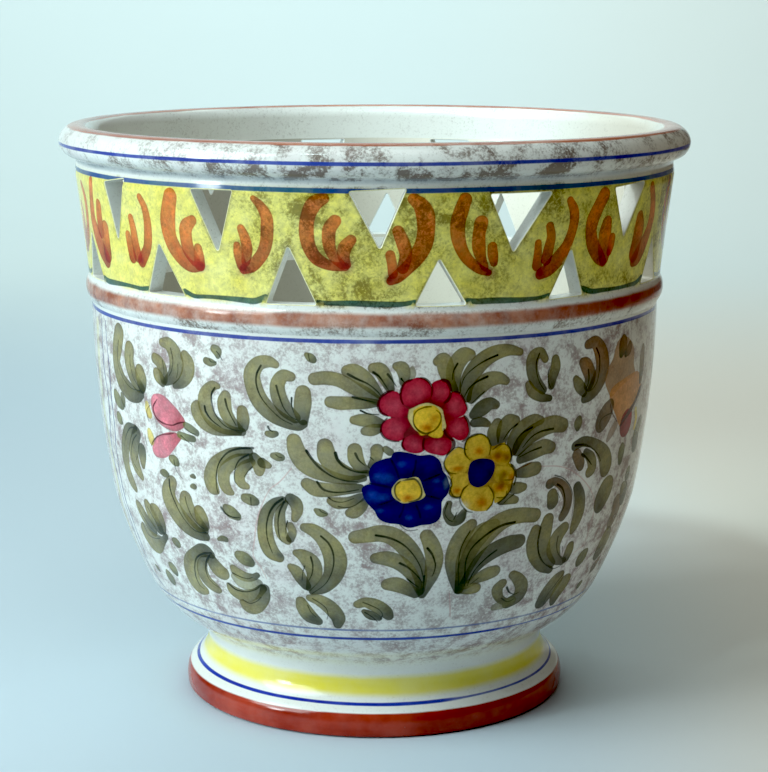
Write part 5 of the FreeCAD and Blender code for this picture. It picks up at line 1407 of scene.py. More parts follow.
def belly_marks(skin):
    marks, seed = [], 0.0
    order = ["scroll"] + [k for k in PANEL if k not in ("scroll", "red", "blue", "yellow")] + ["red", "blue", "yellow"]
    it_mid = [points_of(PANEL[name])[:, 0].mean() for name in order]
    for side in ("front", "back"):
        for i, name in enumerate(order):
            items = [(it[0], it[1], trimmed(it[2])) if it[1] == "stroke" else it for it in PANEL[name]]
            hub = RED_HUB if name == "red" else None
            if side == "back":
                # the other side has the same bouquet the other way round,
                # drawn again by hand, so that no spray is quite the same
                p = points_of(items)
                ca, cz = (FRONT_MID, 100.0) if name in BOUQUET else p.mean(0)
                n = 0.0 if name in BOUQUET else 1.0
                turn = n * math.radians(14.0 * (math.sin(i * 12.9) - 0.1))
                grow = 1.0 + n * 0.07 * math.sin(i * 5.3)
                da = (BACK_MID - FRONT_MID) + n * 1.0 * math.sin(i * 7.7)
                spread = 1.14 if n else 1.0
                ct, st = math.cos(turn), math.sin(turn)

                def shift(az, z, ca=ca, cz=cz, ct=ct, st=st, grow=grow, da=da, spread=spread):
                    k = math.radians(1) * 100.0
                    x, y = (az - ca) * k * grow, (z - cz) * grow
                    x, y = x * ct - y * st, x * st + y * ct
                    out = -((ca - FRONT_MID) * spread) - x / k
                    return (FRONT_MID + da + out, min(cz + y, 150.5))
                items = [moved(it, shift) for it in items]
                hub = shift(*hub) if hub else None
            for it in items:
                seed += 1.37
                kind, form, at = it[0], it[1], it[2]
                marks.append(Mark(kind, form, at, skin, seed, it[3] if len(it) > 3 else None, hub))
                if form == "stroke" and kind[0] in "LD" and it_mid[i] > 27.0:
                    marks[-1].deep = 0.8  # painted shade: leaves on the right come out darker, as the light falls off on that side
                if side == "back":
                    marks[-1].tol = 0.09
                    marks[-1].levels = marks[-1].levels[:2]
    # sprays beside the lines on the right, which the front shows edge on
    for put in (lambda az, z: (28.0 - az, z), lambda az, z: (az + 170.0, z)):
        for name in ("a1", "a1d", "b1", "b2"):
            for it in PANEL[name]:
                it = moved((it[0], it[1], trimmed(it[2])) if it[1] == "stroke" else it, put)
                seed += 1.37
                marks.append(Mark(it[0], it[1], it[2], skin, seed, it[3] if len(it) > 3 else None))
                marks[-1].tol = 0.09
                marks[-1].levels = marks[-1].levels[:2]
    # the pair of thin lines that parts the two panels, on either side, with
    # a pale yellow wash along them
    for turn in (False, True):
        def put(az, z, turn=turn):
            return (28.0 - az, z) if turn else (az, z)
        wash = tuple(put(-72.5 + 0.8 * math.sin(z * 0.09), z) + (5.0,) for z in range(148, 50, -9))
        seed += 1.1
        marks.insert(0, Mark("YW", "stroke", wash, skin, seed))
        for pts, w in DIVIDER:
            seed += 1.1
            marks.append(Mark("VD", "line", [put(*q) for q in pts], skin, seed, w))
    skin.wrap(marks)
    return marks


# ------------------------------------------------------------------ the bowl
def bowl_piece():
    seam = 100.5
    skin = Skin(BOWL_OUT, seam, 105.0)
    marks = belly_marks(skin)
    marks = skin.carried(marks)
    v, f = skin.mesh(marks, 2.5)
    paint = skin.paint(v, marks)
    z = skin.level(np.clip(v[:, 1], 0, skin.height))
    # sponging from just above the foot up; 12 % denser on the right front side, partly real sponging and partly painted
    # shade
    sponge = smooth(z, 24.5, 29.5) * (1.0 + 0.12 * smooth(np.sin(v[:, 0] / 105.0), 0.55, 0.9) * (np.cos(v[:, 0] / 105.0) > -0.3))
    theta = math.radians(seam) + np.arange(COLUMNS) * 2 * math.pi / COLUMNS
    shell = Shell()
    # one loop of rings: underside, seat, then the skin, lip, inside
    outer_len = skin.height
    in_runs = BOWL_TOP + [BOWL_IN]
    in_len = sum(lengths(r)[-1] for r in in_runs)
    low_len = sum(lengths(r)[-1] for r in BOWL_UNDER)
    tile_in = strips(2, 0.004, 0.225, 1000.0, 1000.0 + in_len)
    tile_low = strips(1, 0.23, 0.275, 2000.0, 2000.0 + low_len, 0.002)

    def tile_out(c, s):
        mid = c.mean(1, keepdims=True)
        k = np.clip(np.floor(mid * 4), 0, 3)
        col, row = k % 2, np.floor(k / 2)
        u = c * 4 - k
        w = s / outer_len
        return np.stack([col * 0.5 + 0.008 + 0.484 * u, 0.285 + row * 0.3575 + 0.006 + 0.3455 * w], 2)

    rings = {}
    for key, runs in (("in", in_runs), ("low", BOWL_UNDER)):
        rings[key] = []
        for k, r in enumerate(runs):
            p = turn_points(r, theta)
            sp = 0.1 if key == "in" and k == len(runs) - 1 else 0.0
            if k:
                rows = shell.add_verts(p[1:].reshape(-1, 3), sponge=sp).reshape(-1, COLUMNS)
                rows = np.vstack([rings[key][-1][-1:], rows])
            else:
                rows = shell.add_verts(p.reshape(-1, 3), sponge=sp).reshape(-1, COLUMNS)
            rings[key].append(rows)
    s0 = 1000.0
    for k, r in enumerate(in_runs):
        turn_run(shell, rings["in"][k], r, ring_normals(r), s0, theta, tile_in)
        s0 += lengths(r)[-1]
    s0 = 2000.0
    for k, r in enumerate(BOWL_UNDER):
        turn_run(shell, rings["low"][k], r, ring_normals(r), s0, theta, tile_low)
        s0 += lengths(r)[-1]
    normals = ring_normals(BOWL_OUT, FOOT_OUT[-2], RIB_OUT[1])
    skin_to_shell(shell, skin, v, f, paint, sponge, normals, tile_out, 0.0, rings["low"][-1][-1], rings["in"][0][0])
    # the two small middles, inside and underneath
    for ring, z, up in ((rings["in"][-1][-1], 28.0, 1.0), (rings["low"][0][0], 17.0, -1.0)):
        mid = shell.add_verts(np.array([[0.0, 0.0, z]]), sponge=0.1 if up > 0 else 0.0)
        nxt = np.roll(ring, -1)
        m = np.full(COLUMNS, mid[0])
        tri = np.stack([ring, nxt, m], 1) if up > 0 else np.stack([nxt, ring, m], 1)
        n = np.tile(np.array([0.0, 0.0, up]), (COLUMNS, 3, 1))
        s = np.full((COLUMNS, 3), s0)
        a = np.stack([np.arange(COLUMNS), np.arange(COLUMNS) + 1, np.arange(COLUMNS) + 0.5], 1) * 2 * math.pi / COLUMNS
        rr = np.array([1.0, 1.0, 0.0])[None]
        cu, cv = (0.03, 0.28) if up > 0 else (0.07, 0.28)
        uv = np.stack([cu + 0.004 * rr * np.cos(a), cv + 0.004 * rr * np.sin(a)], 2)
        shell.add_faces(tri, n, s, uv)
    return shell.build("bowl_glazed")


# --------------------------------------------------------------- the gallery
def round_triangle(corners, soft, grow, per_corner=5, per_side=9):
    """A triangle with rounded points. The corner arcs share their centres for
    every value of grow, so that rings of different grow match one to one."""
    p = np.array(corners, float)
    mid = p.mean(0)
    n = 3
    nrm = []
    for i in range(n):
        d = p[(i + 1) % n] - p[i]
        k = np.array([d[1], -d[0]]) / np.hypot(*d)
        if np.dot(k, p[i] - mid) < 0:
            k = -k
        nrm.append(k)
    out = []
    centres = []
    for i in range(n):
        a, b = nrm[i - 1], nrm[i]
        # the point that lies soft inside both edges of the corner
        m = np.array([a, b])
        centres.append(np.linalg.solve(m, np.array([np.dot(a, p[i]) - soft, np.dot(b, p[i]) - soft])))
    for i in range(n):
        a, b = nrm[i - 1], nrm[i]
        ta, tb = math.atan2(a[1], a[0]), math.atan2(b[1], b[0])
        while tb - ta > math.pi:
            tb -= 2 * math.pi
        while tb - ta < -math.pi:
            tb += 2 * math.pi
        for k in np.linspace(0, 1, per_corner):
            t = ta + (tb - ta) * k
            out.append(centres[i] + (soft + grow) * np.array([math.cos(t), math.sin(t)]))
        q0 = centres[i] + (soft + grow) * b
        q1 = centres[(i + 1) % n] + (soft + grow) * b
        for k in np.linspace(0, 1, per_side + 2)[1:-1]:
            out.append(q0 * (1 - k) + q1 * k)
    return np.array(out)


def gallery_marks(skin):
    marks, seed = [], 500.0
    front = list(COMMAS.values())
    mids = [points_of([("C", "stroke", s) for s in group]).mean(0) for group in front]
    # the struts, between each opening and the next
    centres = sorted([(a[0], "d", a) for a in POINT_DOWN] + [(a[0], "u", a) for a in POINT_UP])
    struts = []
    for i in range(len(centres)):
        a, ka, _ = centres[i]
        b = centres[(i + 1) % len(centres)][0] + (360.0 if i == len(centres) - 1 else 0.0)
        struts.append(((a + b) / 2, ka))
    done = []
    for group, mid in zip(front, mids):
        for s in group:
            seed += 1.7
            marks.append(Mark("C", "stroke", s, skin, seed))
        done.append(mid[0] % 360.0)
        end = group[0][-1]
        seed += 1.7
        marks.append(Mark("CK", "spot", (end[0], end[1] + 0.3, 2.1), skin, seed))
    for i, (at, ka) in enumerate(struts):
        at %= 360.0
        if any(abs((at - d + 180) % 360 - 180) < 7.0 for d in done):
            continue
        # strokes of the front that lean the same way, set on this strut
        pick = [2, 4, 6] if ka == "u" else [3, 5, 7]
        j = pick[i % 3]
        group, mid = front[j], mids[j]
        base = min(range(len(struts)), key=lambda k: abs((struts[k][0] - mid[0] + 180) % 360 - 180))
        da = at - struts[base][0] + (3.0 if 60.0 < at < 90.0 else 0.0)
        k = 1.0 + 0.06 * math.sin(i * 3.7)
        for s in group:
            seed += 1.7
            pts = tuple((mid[0] + da + (q[0] - mid[0]) * k, 188.0 + (q[1] - 188.0) * (1 + 0.03 * math.sin(i * 2.1)) + 0.6 * math.sin(i * 5.1), q[2]) for q in s)
            marks.append(Mark("C", "stroke", pts, skin, seed))
        end = group[0][-1]
        seed += 1.7
        marks.append(Mark("CK", "spot", (mid[0] + da + (end[0] - mid[0]) * k, end[1] + 0.3, 2.1), skin, seed))
    # a green line under each yellow field
    ups = sorted(POINT_UP)
    for i, a in enumerate(ups):
        b = ups[(i + 1) % len(ups)]
        az0 = a[0] + math.degrees(math.asin((a[3] + 0.2) / 110.0))
        az1 = b[0] + (360.0 if i == len(ups) - 1 else 0.0) + math.degrees(math.asin((b[1] - 0.2) / 110.0))
        pts = []
        for k in np.linspace(0, 1, 9):
            lift = 1.5 * smooth(np.array(abs(k - 0.5) * 2), 0.86, 1.0)
            pts.append((az0 + (az1 - az0) * k, 166.5 + 0.18 * math.sin(k * 7 + i) + float(lift) * (0.4 + 0.6 * (i % 2)), 1.85 + 0.4 * math.sin(k * 5 + i * 2.0)))
        seed += 1.7
        marks.append(Mark("GT", "stroke", tuple(pts), skin, seed))
    skin.wrap(marks)
    return marks


def gallery_piece():
    seam = 199.6
    ref = 112.0
    skin = Skin(GALLERY_OUT, seam, ref)
    inner = Skin(GALLERY_IN[::-1], seam, 105.0)
    marks = gallery_marks(skin)
    marks = skin.carried(marks)
    tri = [(row, [(row[1], row[2]), (row[3], row[4]), (row[5], row[6])]) for row in POINT_DOWN + POINT_UP]
    soft, bevel = 0.5, 0.45

    def spin(az, x, r):
        a = math.radians(az)
        while a < math.radians(seam):
            a += 2 * math.pi
        return a + np.arcsin(x / r)

    def out_r(z):
        return np.interp(z, GALLERY_OUT[:, 1], GALLERY_OUT[:, 0])

    def in_r(z):
        return np.interp(z, GALLERY_IN[::-1, 1], GALLERY_IN[::-1, 0])

    out_holes, in_holes = [], []
    for row, corners in tri:
        p = round_triangle(corners, soft, bevel)
        th = spin(row[0], p[:, 0], out_r(p[:, 1]))
        out_holes.append(np.stack([th * ref, [skin.along(z) for z in p[:, 1]]], 1))
        th = spin(row[0], p[:, 0], in_r(p[:, 1]))
        in_holes.append(np.stack([th * 105.0, [inner.along(z) for z in p[:, 1]]], 1))
    v, f = skin.mesh(marks, 1.7, out_holes)
    vi, fi = inner.mesh([], 3.0, in_holes)
    z = skin.level(np.clip(v[:, 1], 0, skin.height))
    # the yellow field, thin and thick, stopping short of both borders
    x = v[:, 0]
    turn = skin.x1 - skin.x0
    late = smooth(x, skin.x1 - 14.0, skin.x1)

    def even(sx, sy, seed):
        return value_noise(x / sx, v[:, 1] / sy, seed) * (1 - late) + value_noise((x - turn) / sx, v[:, 1] / sy, seed) * late

    n = even(9.0, 7.0, 3.0) * 0.6 + even(3.0, 4.0, 9.0) * 0.4
    yellow = np.array(srgb(238, 232, 122))[None] * (1 - n)[:, None] + np.array(srgb(228, 212, 62))[None] * n[:, None]
    edge = smooth(z, 165.3, 166.0) * (1 - smooth(z, 205.0, 205.5))
    cover = edge * (0.93 - 0.1 * even(5.0, 3.0, 21.0))
    at_hole = np.zeros(len(v), bool)
    tree = kdtree.KDTree(len(v))
    for i, p in enumerate(v):
        tree.insert((p[0], p[1], 0.0), i)
    tree.balance()
    hole_index = []
    for h in out_holes:
        idx = np.array([tree.find((p[0], p[1], 0.0))[1] for p in h])
        hole_index.append(idx)
        at_hole[idx] = True
    # the glaze breaks brown where it runs thin over a cut edge
    # the yellow turns brown along the cut edges of the openings
    brown_cut_edge = np.where(at_hole, 0.2 + 0.45 * value_noise(x / 4.0, v[:, 1] / 4.0, 33.0), 0.0)
    yellow = yellow * (1 - brown_cut_edge)[:, None] + np.array(srgb(92, 78, 34))[None] * brown_cut_edge[:, None]
    ground = np.column_stack([yellow * cover[:, None], cover])
    paint = skin.paint(v, marks, ground)
    sponge = 0.34 + 0.66 * smooth(np.sin(x / ref), -0.62, -0.15)
    theta = math.radians(seam) + np.arange(COLUMNS) * 2 * math.pi / COLUMNS
    shell = Shell()
    H = skin.height
    tile_in = strips(2, 0.66, 0.84, 0.0, inner.height)
    hid = sum(lengths(r)[-1] for r in GALLERY_TOP + GALLERY_LOW)
    tile_hid = strips(1, 0.955, 0.995, 2000.0, 2000.0 + hid, 0.001)

    def tile_out(c, s):
        mid = c.mean(1, keepdims=True)
        k = np.clip(np.floor(mid * 4), 0, 3)
        return np.stack([0.014 + 0.972 * (c * 4 - k), 0.008 + k * 0.162 + 0.15 * s / H], 2)

    rings = {}
    for key, runs in (("top", GALLERY_TOP), ("low", GALLERY_LOW)):
        rings[key] = []
        for k, r in enumerate(runs):
            p = turn_points(r, theta)
            if k:
                rows = shell.add_verts(p[1:].reshape(-1, 3)).reshape(-1, COLUMNS)
                rows = np.vstack([rings[key][-1][-1:], rows])
            else:
                rows = shell.add_verts(p.reshape(-1, 3)).reshape(-1, COLUMNS)
            rings[key].append(rows)
    s0 = 2000.0
    for key, runs in (("top", GALLERY_TOP), ("low", GALLERY_LOW)):
        for k, r in enumerate(runs):
            turn_run(shell, rings[key][k], r, ring_normals(r), s0, theta, tile_hid)
            s0 += lengths(r)[-1]
    normals = ring_normals(GALLERY_OUT, RIB_OUT[-2], None)
    num = skin_to_shell(shell, skin, v, f, paint, sponge, normals, tile_out, 0.0, rings["low"][-1][-1], rings["top"][0][0])
    n_in = -ring_normals(GALLERY_IN[::-1])
    num_in = skin_to_shell(shell, inner, vi, fi[:, ::-1], np.zeros((len(vi), 4)), np.full(len(vi), 0.1), n_in, tile_in, 1000.0,
                           rings["low"][0][0], rings["top"][-1][-1])
    tree_in = kdtree.KDTree(len(vi))
    for i, p in enumerate(vi):
        tree_in.insert((p[0], p[1], 0.0), i)
    tree_in.balance()
    # the cut faces, from the soft outer edge through the wall to the inside
    for hno, (row, corners) in enumerate(tri):
        layers = []
        plan = [(0.62, 0.03), (0.36, 0.13), (0.13, 0.36), (0.03, 0.62)]
        for grow, depth in plan:
            layers.append((grow * bevel, depth * bevel, 0))
        layers.append((0.0, bevel * 1.05, 0))
        for k in (0.35, 0.65):
            layers.append((0.0, k, 2))
        layers.append((0.0, bevel * 1.05, 1))
        for grow, depth in plan[::-1]:
            layers.append((grow * bevel, depth * bevel, 1))
        a = math.radians(row[0])
        er, et = np.array([math.sin(a), -math.cos(a), 0.0]), np.array([math.cos(a), math.sin(a), 0.0])

        def place(grow, depth, side):
            p = round_triangle(corners, soft, grow)
            if side == 0:
                r = out_r(p[:, 1]) - depth
            elif side == 1:
                r = in_r(p[:, 1]) + depth
            else:
                r = out_r(p[:, 1]) * (1 - depth) + in_r(p[:, 1]) * depth
            y = np.sqrt(r * r - p[:, 0] ** 2)
            return p[:, :1] * et[None] + y[:, None] * er[None] + np.stack([0 * y, 0 * y, p[:, 1]], 1)

        first_pos = place(bevel, 0.0, 0)
        m = len(first_pos)
        ring = [num[hole_index[hno]]]
        pos = [first_pos]
        for li, (grow, depth, side) in enumerate(layers):
            p = place(grow, depth, side)
            k = max(0.0, 0.62 - 0.2 * li) if side == 0 else 0.0
            col = np.column_stack([np.tile(np.array(srgb(232, 220, 84)) * k, (m, 1)), np.full(m, k)])
            ring.append(shell.add_verts(p, col, 0.2))
            pos.append(p)
        idx = np.array([tree_in.find((p[0], p[1], 0.0))[1] for p in in_holes[hno]])
        ring.append(num_in[idx])
        pos.append(place(bevel, 0.0, 1))
        pos = np.array(pos)
        L = len(ring)
        # normals from the grid of the cut face itself
        du = np.roll(pos, -1, 1) - np.roll(pos, 1, 1)
        dv = np.empty_like(pos)
        dv[1:-1] = pos[2:] - pos[:-2]
        dv[0], dv[-1] = pos[1] - pos[0], pos[-1] - pos[-2]
        nn = np.cross(du, dv)
        nn /= np.linalg.norm(nn, axis=2)[:, :, None]
        mid = pos[L // 2].mean(0)
        if np.mean(np.sum(nn[L // 2] * (mid[None] - pos[L // 2]), 1)) < 0:
            nn = -nn
        for side_no, zq in ((0, 0), (L - 1, 1)):
            rad = pos[side_no] * np.array([1.0, 1.0, 0.0])
            rad /= np.linalg.norm(rad, axis=1)[:, None]
            nn[side_no] = rad if zq == 0 else -rad
        ring = np.array(ring)
        i = np.arange(L - 1)[:, None]
        j = np.arange(m)[None]
        jn = (j + 1) % m
        faces = np.stack([ring[i, j], ring[i, jn], ring[i + 1, jn], ring[i + 1, j]], 2).reshape(-1, 4)
        cn = np.stack([nn[i, j], nn[i, jn], nn[i + 1, jn], nn[i + 1, j]], 2).reshape(-1, 4, 3)
        # the way round is set by the first face
        a0, b0, c0 = pos[0, 0], pos[0, 1], pos[1, 1]
        col, rowno = hno % 13, hno // 13
        u0, v0 = 0.004 + col * 0.0765, 0.85 + rowno * 0.052
        jj = np.broadcast_to(j, (L - 1, m))
        ii = np.broadcast_to(i, (L - 1, m))
        cu = np.stack([jj, jj + 1, jj + 1, jj], 2).reshape(-1, 4) / m
        cvv = np.stack([ii, ii, ii + 1, ii + 1], 2).reshape(-1, 4) / (L - 1)
        uv = np.stack([u0 + 0.07 * cu, v0 + 0.045 * cvv], 2)
        if np.dot(np.cross(b0 - a0, c0 - a0), nn[1, 0]) < 0:
            faces, cn, uv = faces[:, ::-1], cn[:, ::-1], uv[:, ::-1]
        shell.add_faces(faces, cn, np.full(faces.shape, -5.0), uv)
    return shell.build("pierced_gallery_glazed")


# ----------------------------------------------------------------- materials
class Nodes:
    def __init__(self, name):
        self.mat = bpy.data.materials.new(name)
        self.mat.use_nodes = True
        self.tree = self.mat.node_tree
        self.tree.nodes.clear()

    def new(self, kind, **settings):
        n = self.tree.nodes.new(kind)
        for k, v in settings.items():
            setattr(n, k, v)
        return n

    def put(self, socket, value):
        if isinstance(value, bpy.types.NodeSocket):
            self.tree.links.new(value, socket)
        else:
            socket.default_value = value

    def math(self, op, a, b=None, c=None, clamp=False):
        n = self.new("ShaderNodeMath", operation=op, use_clamp=clamp)
        self.put(n.inputs[0], a)
        if b is not None:
            self.put(n.inputs[1], b)
        if c is not None:
            self.put(n.inputs[2], c)
        return n.outputs[0]

    def ramp(self, value, lo, hi, out_lo=0.0, out_hi=1.0):
        n = self.new("ShaderNodeMapRange", interpolation_type="SMOOTHSTEP")
        for i, v in enumerate((value, lo, hi, out_lo, out_hi)):
            self.put(n.inputs[i], v)
        return n.outputs[0]

    def noise(self, scale, detail=2.0, rough=0.5, where=None, warp=0.0):
        n = self.new("ShaderNodeTexNoise")
        self.put(n.inputs["Vector"], where if where is not None else self.place)
        n.inputs["Scale"].default_value = scale
        n.inputs["Detail"].default_value = detail
        n.inputs["Roughness"].default_value = rough
        n.inputs["Distortion"].default_value = warp
        return n.outputs["Fac"]

    def mix(self, fac, a, b, mode="MIX"):
        n = self.new("ShaderNodeMix", data_type="RGBA", blend_type=mode)
        self.put(n.inputs[0], fac)
        for socket, v in ((n.inputs[6], a), (n.inputs[7], b)):
            self.put(socket, v if isinstance(v, bpy.types.NodeSocket) else tuple(v) + (1.0,))
        return n.outputs[2]

    def vec(self, op, a, b=None):
        n = self.new("ShaderNodeVectorMath", operation=op)
        self.put(n.inputs[0], a)
        if b is not None:
            self.put(n.inputs[1], b)
        return n.outputs[0]

    def attr(self, name):
        return self.new("ShaderNodeAttribute", attribute_name=name)

    def begin(self):
        geo = self.new("ShaderNodeTexCoord")
        self.place = geo.outputs["Object"]
        self.section = self.attr("section").outputs["Fac"]
        self.sponged = self.attr("sponged").outputs["Fac"]
        p = self.attr("paint")
        self.paint, self.cover = p.outputs["Color"], p.outputs["Alpha"]
        split = self.new("ShaderNodeSeparateXYZ")
        self.put(split.inputs[0], self.place)
        self.across = split.outputs[0]
        # a slow and a quick waver of the painter's hand, in millimetres
        slow = self.math("MULTIPLY_ADD", self.noise(16.0, 1.0), 1.5, -0.75)
        quick = self.math("MULTIPLY_ADD", self.noise(130.0, 2.0), 0.36, -0.18)
        self.waver = self.math("ADD", slow, quick)

    def band(self, centre, half, soft, waver=0.35, swell=0.0):
        """Where a band painted on the turning wheel lies: 1 inside, 0 out."""
        at = self.math("MULTIPLY_ADD", self.waver, waver, self.section)
        off = self.math("ABSOLUTE", self.math("SUBTRACT", at, centre))
        if swell:
            w = self.math("MULTIPLY_ADD", self.noise(40.0, 2.0), 2.0 * swell, half - swell)
            off = self.math("ADD", self.math("SUBTRACT", off, w), half)
        return self.ramp(off, half - soft / 2, half + soft / 2, 1.0, 0.0)


SPONGE = srgb(174, 154, 155)


def glaze(name, bands=(), white=srgb(240, 242, 237), sponge=SPONGE, sponge_over=0.4, sponge_size=165.0, sponge_deep=0.5, veil=(0.30, 0.68, 0.58)):
    """Tin glaze over earthenware: milky white, sponged, painted and shiny."""
    m = Nodes(name)
    m.begin()
    # the white itself is never even: thin and thick glaze, a few iron specks
    thick = m.noise(22.0, 4.0, 0.55)
    base = m.mix(m.ramp(thick, 0.35, 0.7), tuple(c * 0.93 for c in white), white)
    # inside, the glaze is thinner and lets the cream of the clay through
    inner = m.ramp(m.section, 900.0, 905.0)
    base = m.mix(inner, base, srgb(235, 231, 218))
    # painted shade: the inside turns grey towards the left, where it lies in shadow
    painted_shade_inside_left = m.math("MULTIPLY", inner, m.ramp(m.across, -0.035, 0.03, 0.85, 0.0))
    base = m.mix(painted_shade_inside_left, base, srgb(176, 172, 162))
    fleck = m.noise(620.0, 2.0, 0.6)
    base = m.mix(m.ramp(fleck, 0.765, 0.785, 0.0, 0.45), base, srgb(150, 134, 118))
    bloom = m.math("MULTIPLY", m.ramp(m.noise(48.0, 4.0, 0.6), 0.46, 0.66, 0.0, 0.5), m.sponged)
    base = m.mix(bloom, base, tuple(w * c for w, c in zip(white, (0.87, 0.79, 0.82))))
    # painted shade: every piece turns darker and browner on its right side, past about 64 mm to the right, where the
    # light falls off
    painted_shade_right = m.ramp(m.across, 0.064, 0.108, 0.0, 0.88)
    base = m.mix(painted_shade_right, base, tuple(w * c for w, c in zip(white, (0.72, 0.64, 0.56))))
    # brushwork, held as colour times cover
    keep = m.math("SUBTRACT", 1.0, m.cover)
    grain = m.noise(900.0, 2.0, 0.65)
    under = m.vec("MULTIPLY", base, keep)
    worn = m.math("MULTIPLY", m.ramp(grain, 0.2, 0.8, 0.86, 1.12), m.ramp(m.noise(330.0, 3.0, 0.6), 0.25, 0.75, 0.84, 1.14))
    painted = m.vec("ADD", under, m.vec("MULTIPLY", m.paint, worn))
    # sponging: soft dabs, each of them a crowd of fine specks
    big = m.noise(sponge_size, 4.0, 0.62, warp=0.3)
    patchy = m.ramp(m.noise(20.0, 2.0), 0.36, 0.62, veil[2], 1.0)
    dense = m.math("MULTIPLY", m.math("MULTIPLY", m.ramp(big, veil[0], veil[1]), patchy), m.sponged)
    fine = m.noise(1000.0, 3.0, 0.72)
    level = m.math("MULTIPLY_ADD", dense, -0.30, 0.64)
    speck = m.ramp(m.math("SUBTRACT", fine, level), -0.10, 0.14)
    tone = m.math("MULTIPLY_ADD", dense, sponge_deep, 0.2)
    wash = m.math("MULTIPLY", m.math("MULTIPLY", dense, dense), 0.62 * sponge_deep)
    dab = m.math("MULTIPLY_ADD", speck, tone, wash, clamp=True)
    dab = m.math("MULTIPLY", dab, m.math("MULTIPLY_ADD", m.cover, -(1.0 - sponge_over), 1.0))
    shade = m.mix(1.0, painted, sponge, "MULTIPLY")
    colour = m.mix(dab, painted, shade)
    for b in bands:
        mask = m.band(b["at"], b["half"], b["soft"], b.get("waver", 0.35), b.get("swell", 0.0))
        tint = m.mix(m.ramp(m.noise(b.get("scale", 30.0), 4.0, 0.6), 0.3, 0.7), b["a"], b["b"])
        strength = m.ramp(m.noise(b.get("thin_scale", 70.0), 4.0, 0.65), 0.25, 0.65, b.get("thin", 0.8), b.get("full", 0.97))
        mask = m.math("MULTIPLY", mask, strength)
        if "since" in b:
            mask = m.math("MULTIPLY", mask, m.ramp(m.across, b["since"] - 0.03, b["since"] + 0.03, 0.0, 1.0))
        if "until" in b:
            mask = m.math("MULTIPLY", mask, m.ramp(m.across, b["until"] - 0.006, b["until"] + 0.006, 1.0, 0.0))
        colour = m.mix(mask, colour, tint)
    # pin holes in the glaze
    pit = m.new("ShaderNodeTexVoronoi", feature="F1")
    m.put(pit.inputs["Vector"], m.place)
    pit.inputs["Scale"].default_value = 210.0
    hole = m.ramp(pit.outputs["Distance"], 0.035, 0.06, 1.0, 0.0)
    some = m.ramp(m.noise(80.0, 1.0), 0.6, 0.66)
    hole = m.math("MULTIPLY", hole, some)
    colour = m.mix(m.math("MULTIPLY", hole, 0.55), colour, srgb(96, 78, 66))
    bsdf = m.new("ShaderNodeBsdfPrincipled")
    m.put(bsdf.inputs["Base Color"], colour)
    rough = m.ramp(m.noise(45.0, 3.0, 0.6), 0.3, 0.75, 0.10, 0.19)
    m.put(bsdf.inputs["Roughness"], m.math("MULTIPLY_ADD", hole, 0.4, rough))
    bsdf.inputs["IOR"].default_value = 1.48
    # the skin of the glaze: slow waves, a faint orange peel, and the pits
    wave = m.noise(34.0, 2.0, 0.5)
    peel = m.noise(420.0, 2.0, 0.5)
    high = m.math("MULTIPLY_ADD", peel, 0.035, m.math("MULTIPLY", wave, 0.5))
    high = m.math("MULTIPLY_ADD", hole, -0.12, high)
    high = m.math("MULTIPLY_ADD", m.cover, 0.02, high)
    bump = m.new("ShaderNodeBump")
    bump.inputs["Strength"].default_value = 0.35
    bump.inputs["Distance"].default_value = 0.0012
    m.put(bump.inputs["Height"], high)
    m.put(bsdf.inputs["Normal"], bump.outputs[0])
    out = m.new("ShaderNodeOutputMaterial")
    m.put(out.inputs[0], bsdf.outputs[0])
    return m.mat


def section_at(p, r, z):
    """How far along a run its nearest point to (r, z) lies."""
    return float(lengths(p)[np.hypot(p[:, 0] - r, p[:, 1] - z).argmin()])


def place_on(p, z):
    """Length along a run to a height, where the run rises all the way."""
    return float(np.interp(z, p[:, 1], lengths(p)))


COBALT = dict(a=srgb(38, 52, 142), b=srgb(60, 80, 168))

theta0 = np.arange(COLUMNS) * 2 * math.pi / COLUMNS + math.radians(140.0)


def rim_sponge(r, z, k):
    if k:
        return 0 * z
    out = np.where(r > 113.0, 0.82 + 0.3 * smooth(-z, -215.0, -213.0), 0.25)
    return np.where((z < 208.2) & (r > 112.0), 0.3, out)


rim, rim_len = turned_piece("rim_glazed", RIM, theta0, rim_sponge, before=GALLERY_OUT[-2], after=GALLERY_IN[1])
rib, rib_len = turned_piece("shoulder_rib_glazed", RIB, theta0, lambda r, z, k: np.where(z < 160.0, 0.75, 0.5) if k == 0 else np.full(len(z), 0.2), before=BOWL_OUT[-2], after=GALLERY_OUT[1])
foot, foot_len = turned_piece("foot_ring_glazed", [FOOT_OUT, FOOT[2], FOOT[3], FOOT[0]], theta0, lambda r, z, k: np.full(len(z), 0.12), after=BOWL_OUT[1])
bowl = bowl_piece()
gallery = gallery_piece()

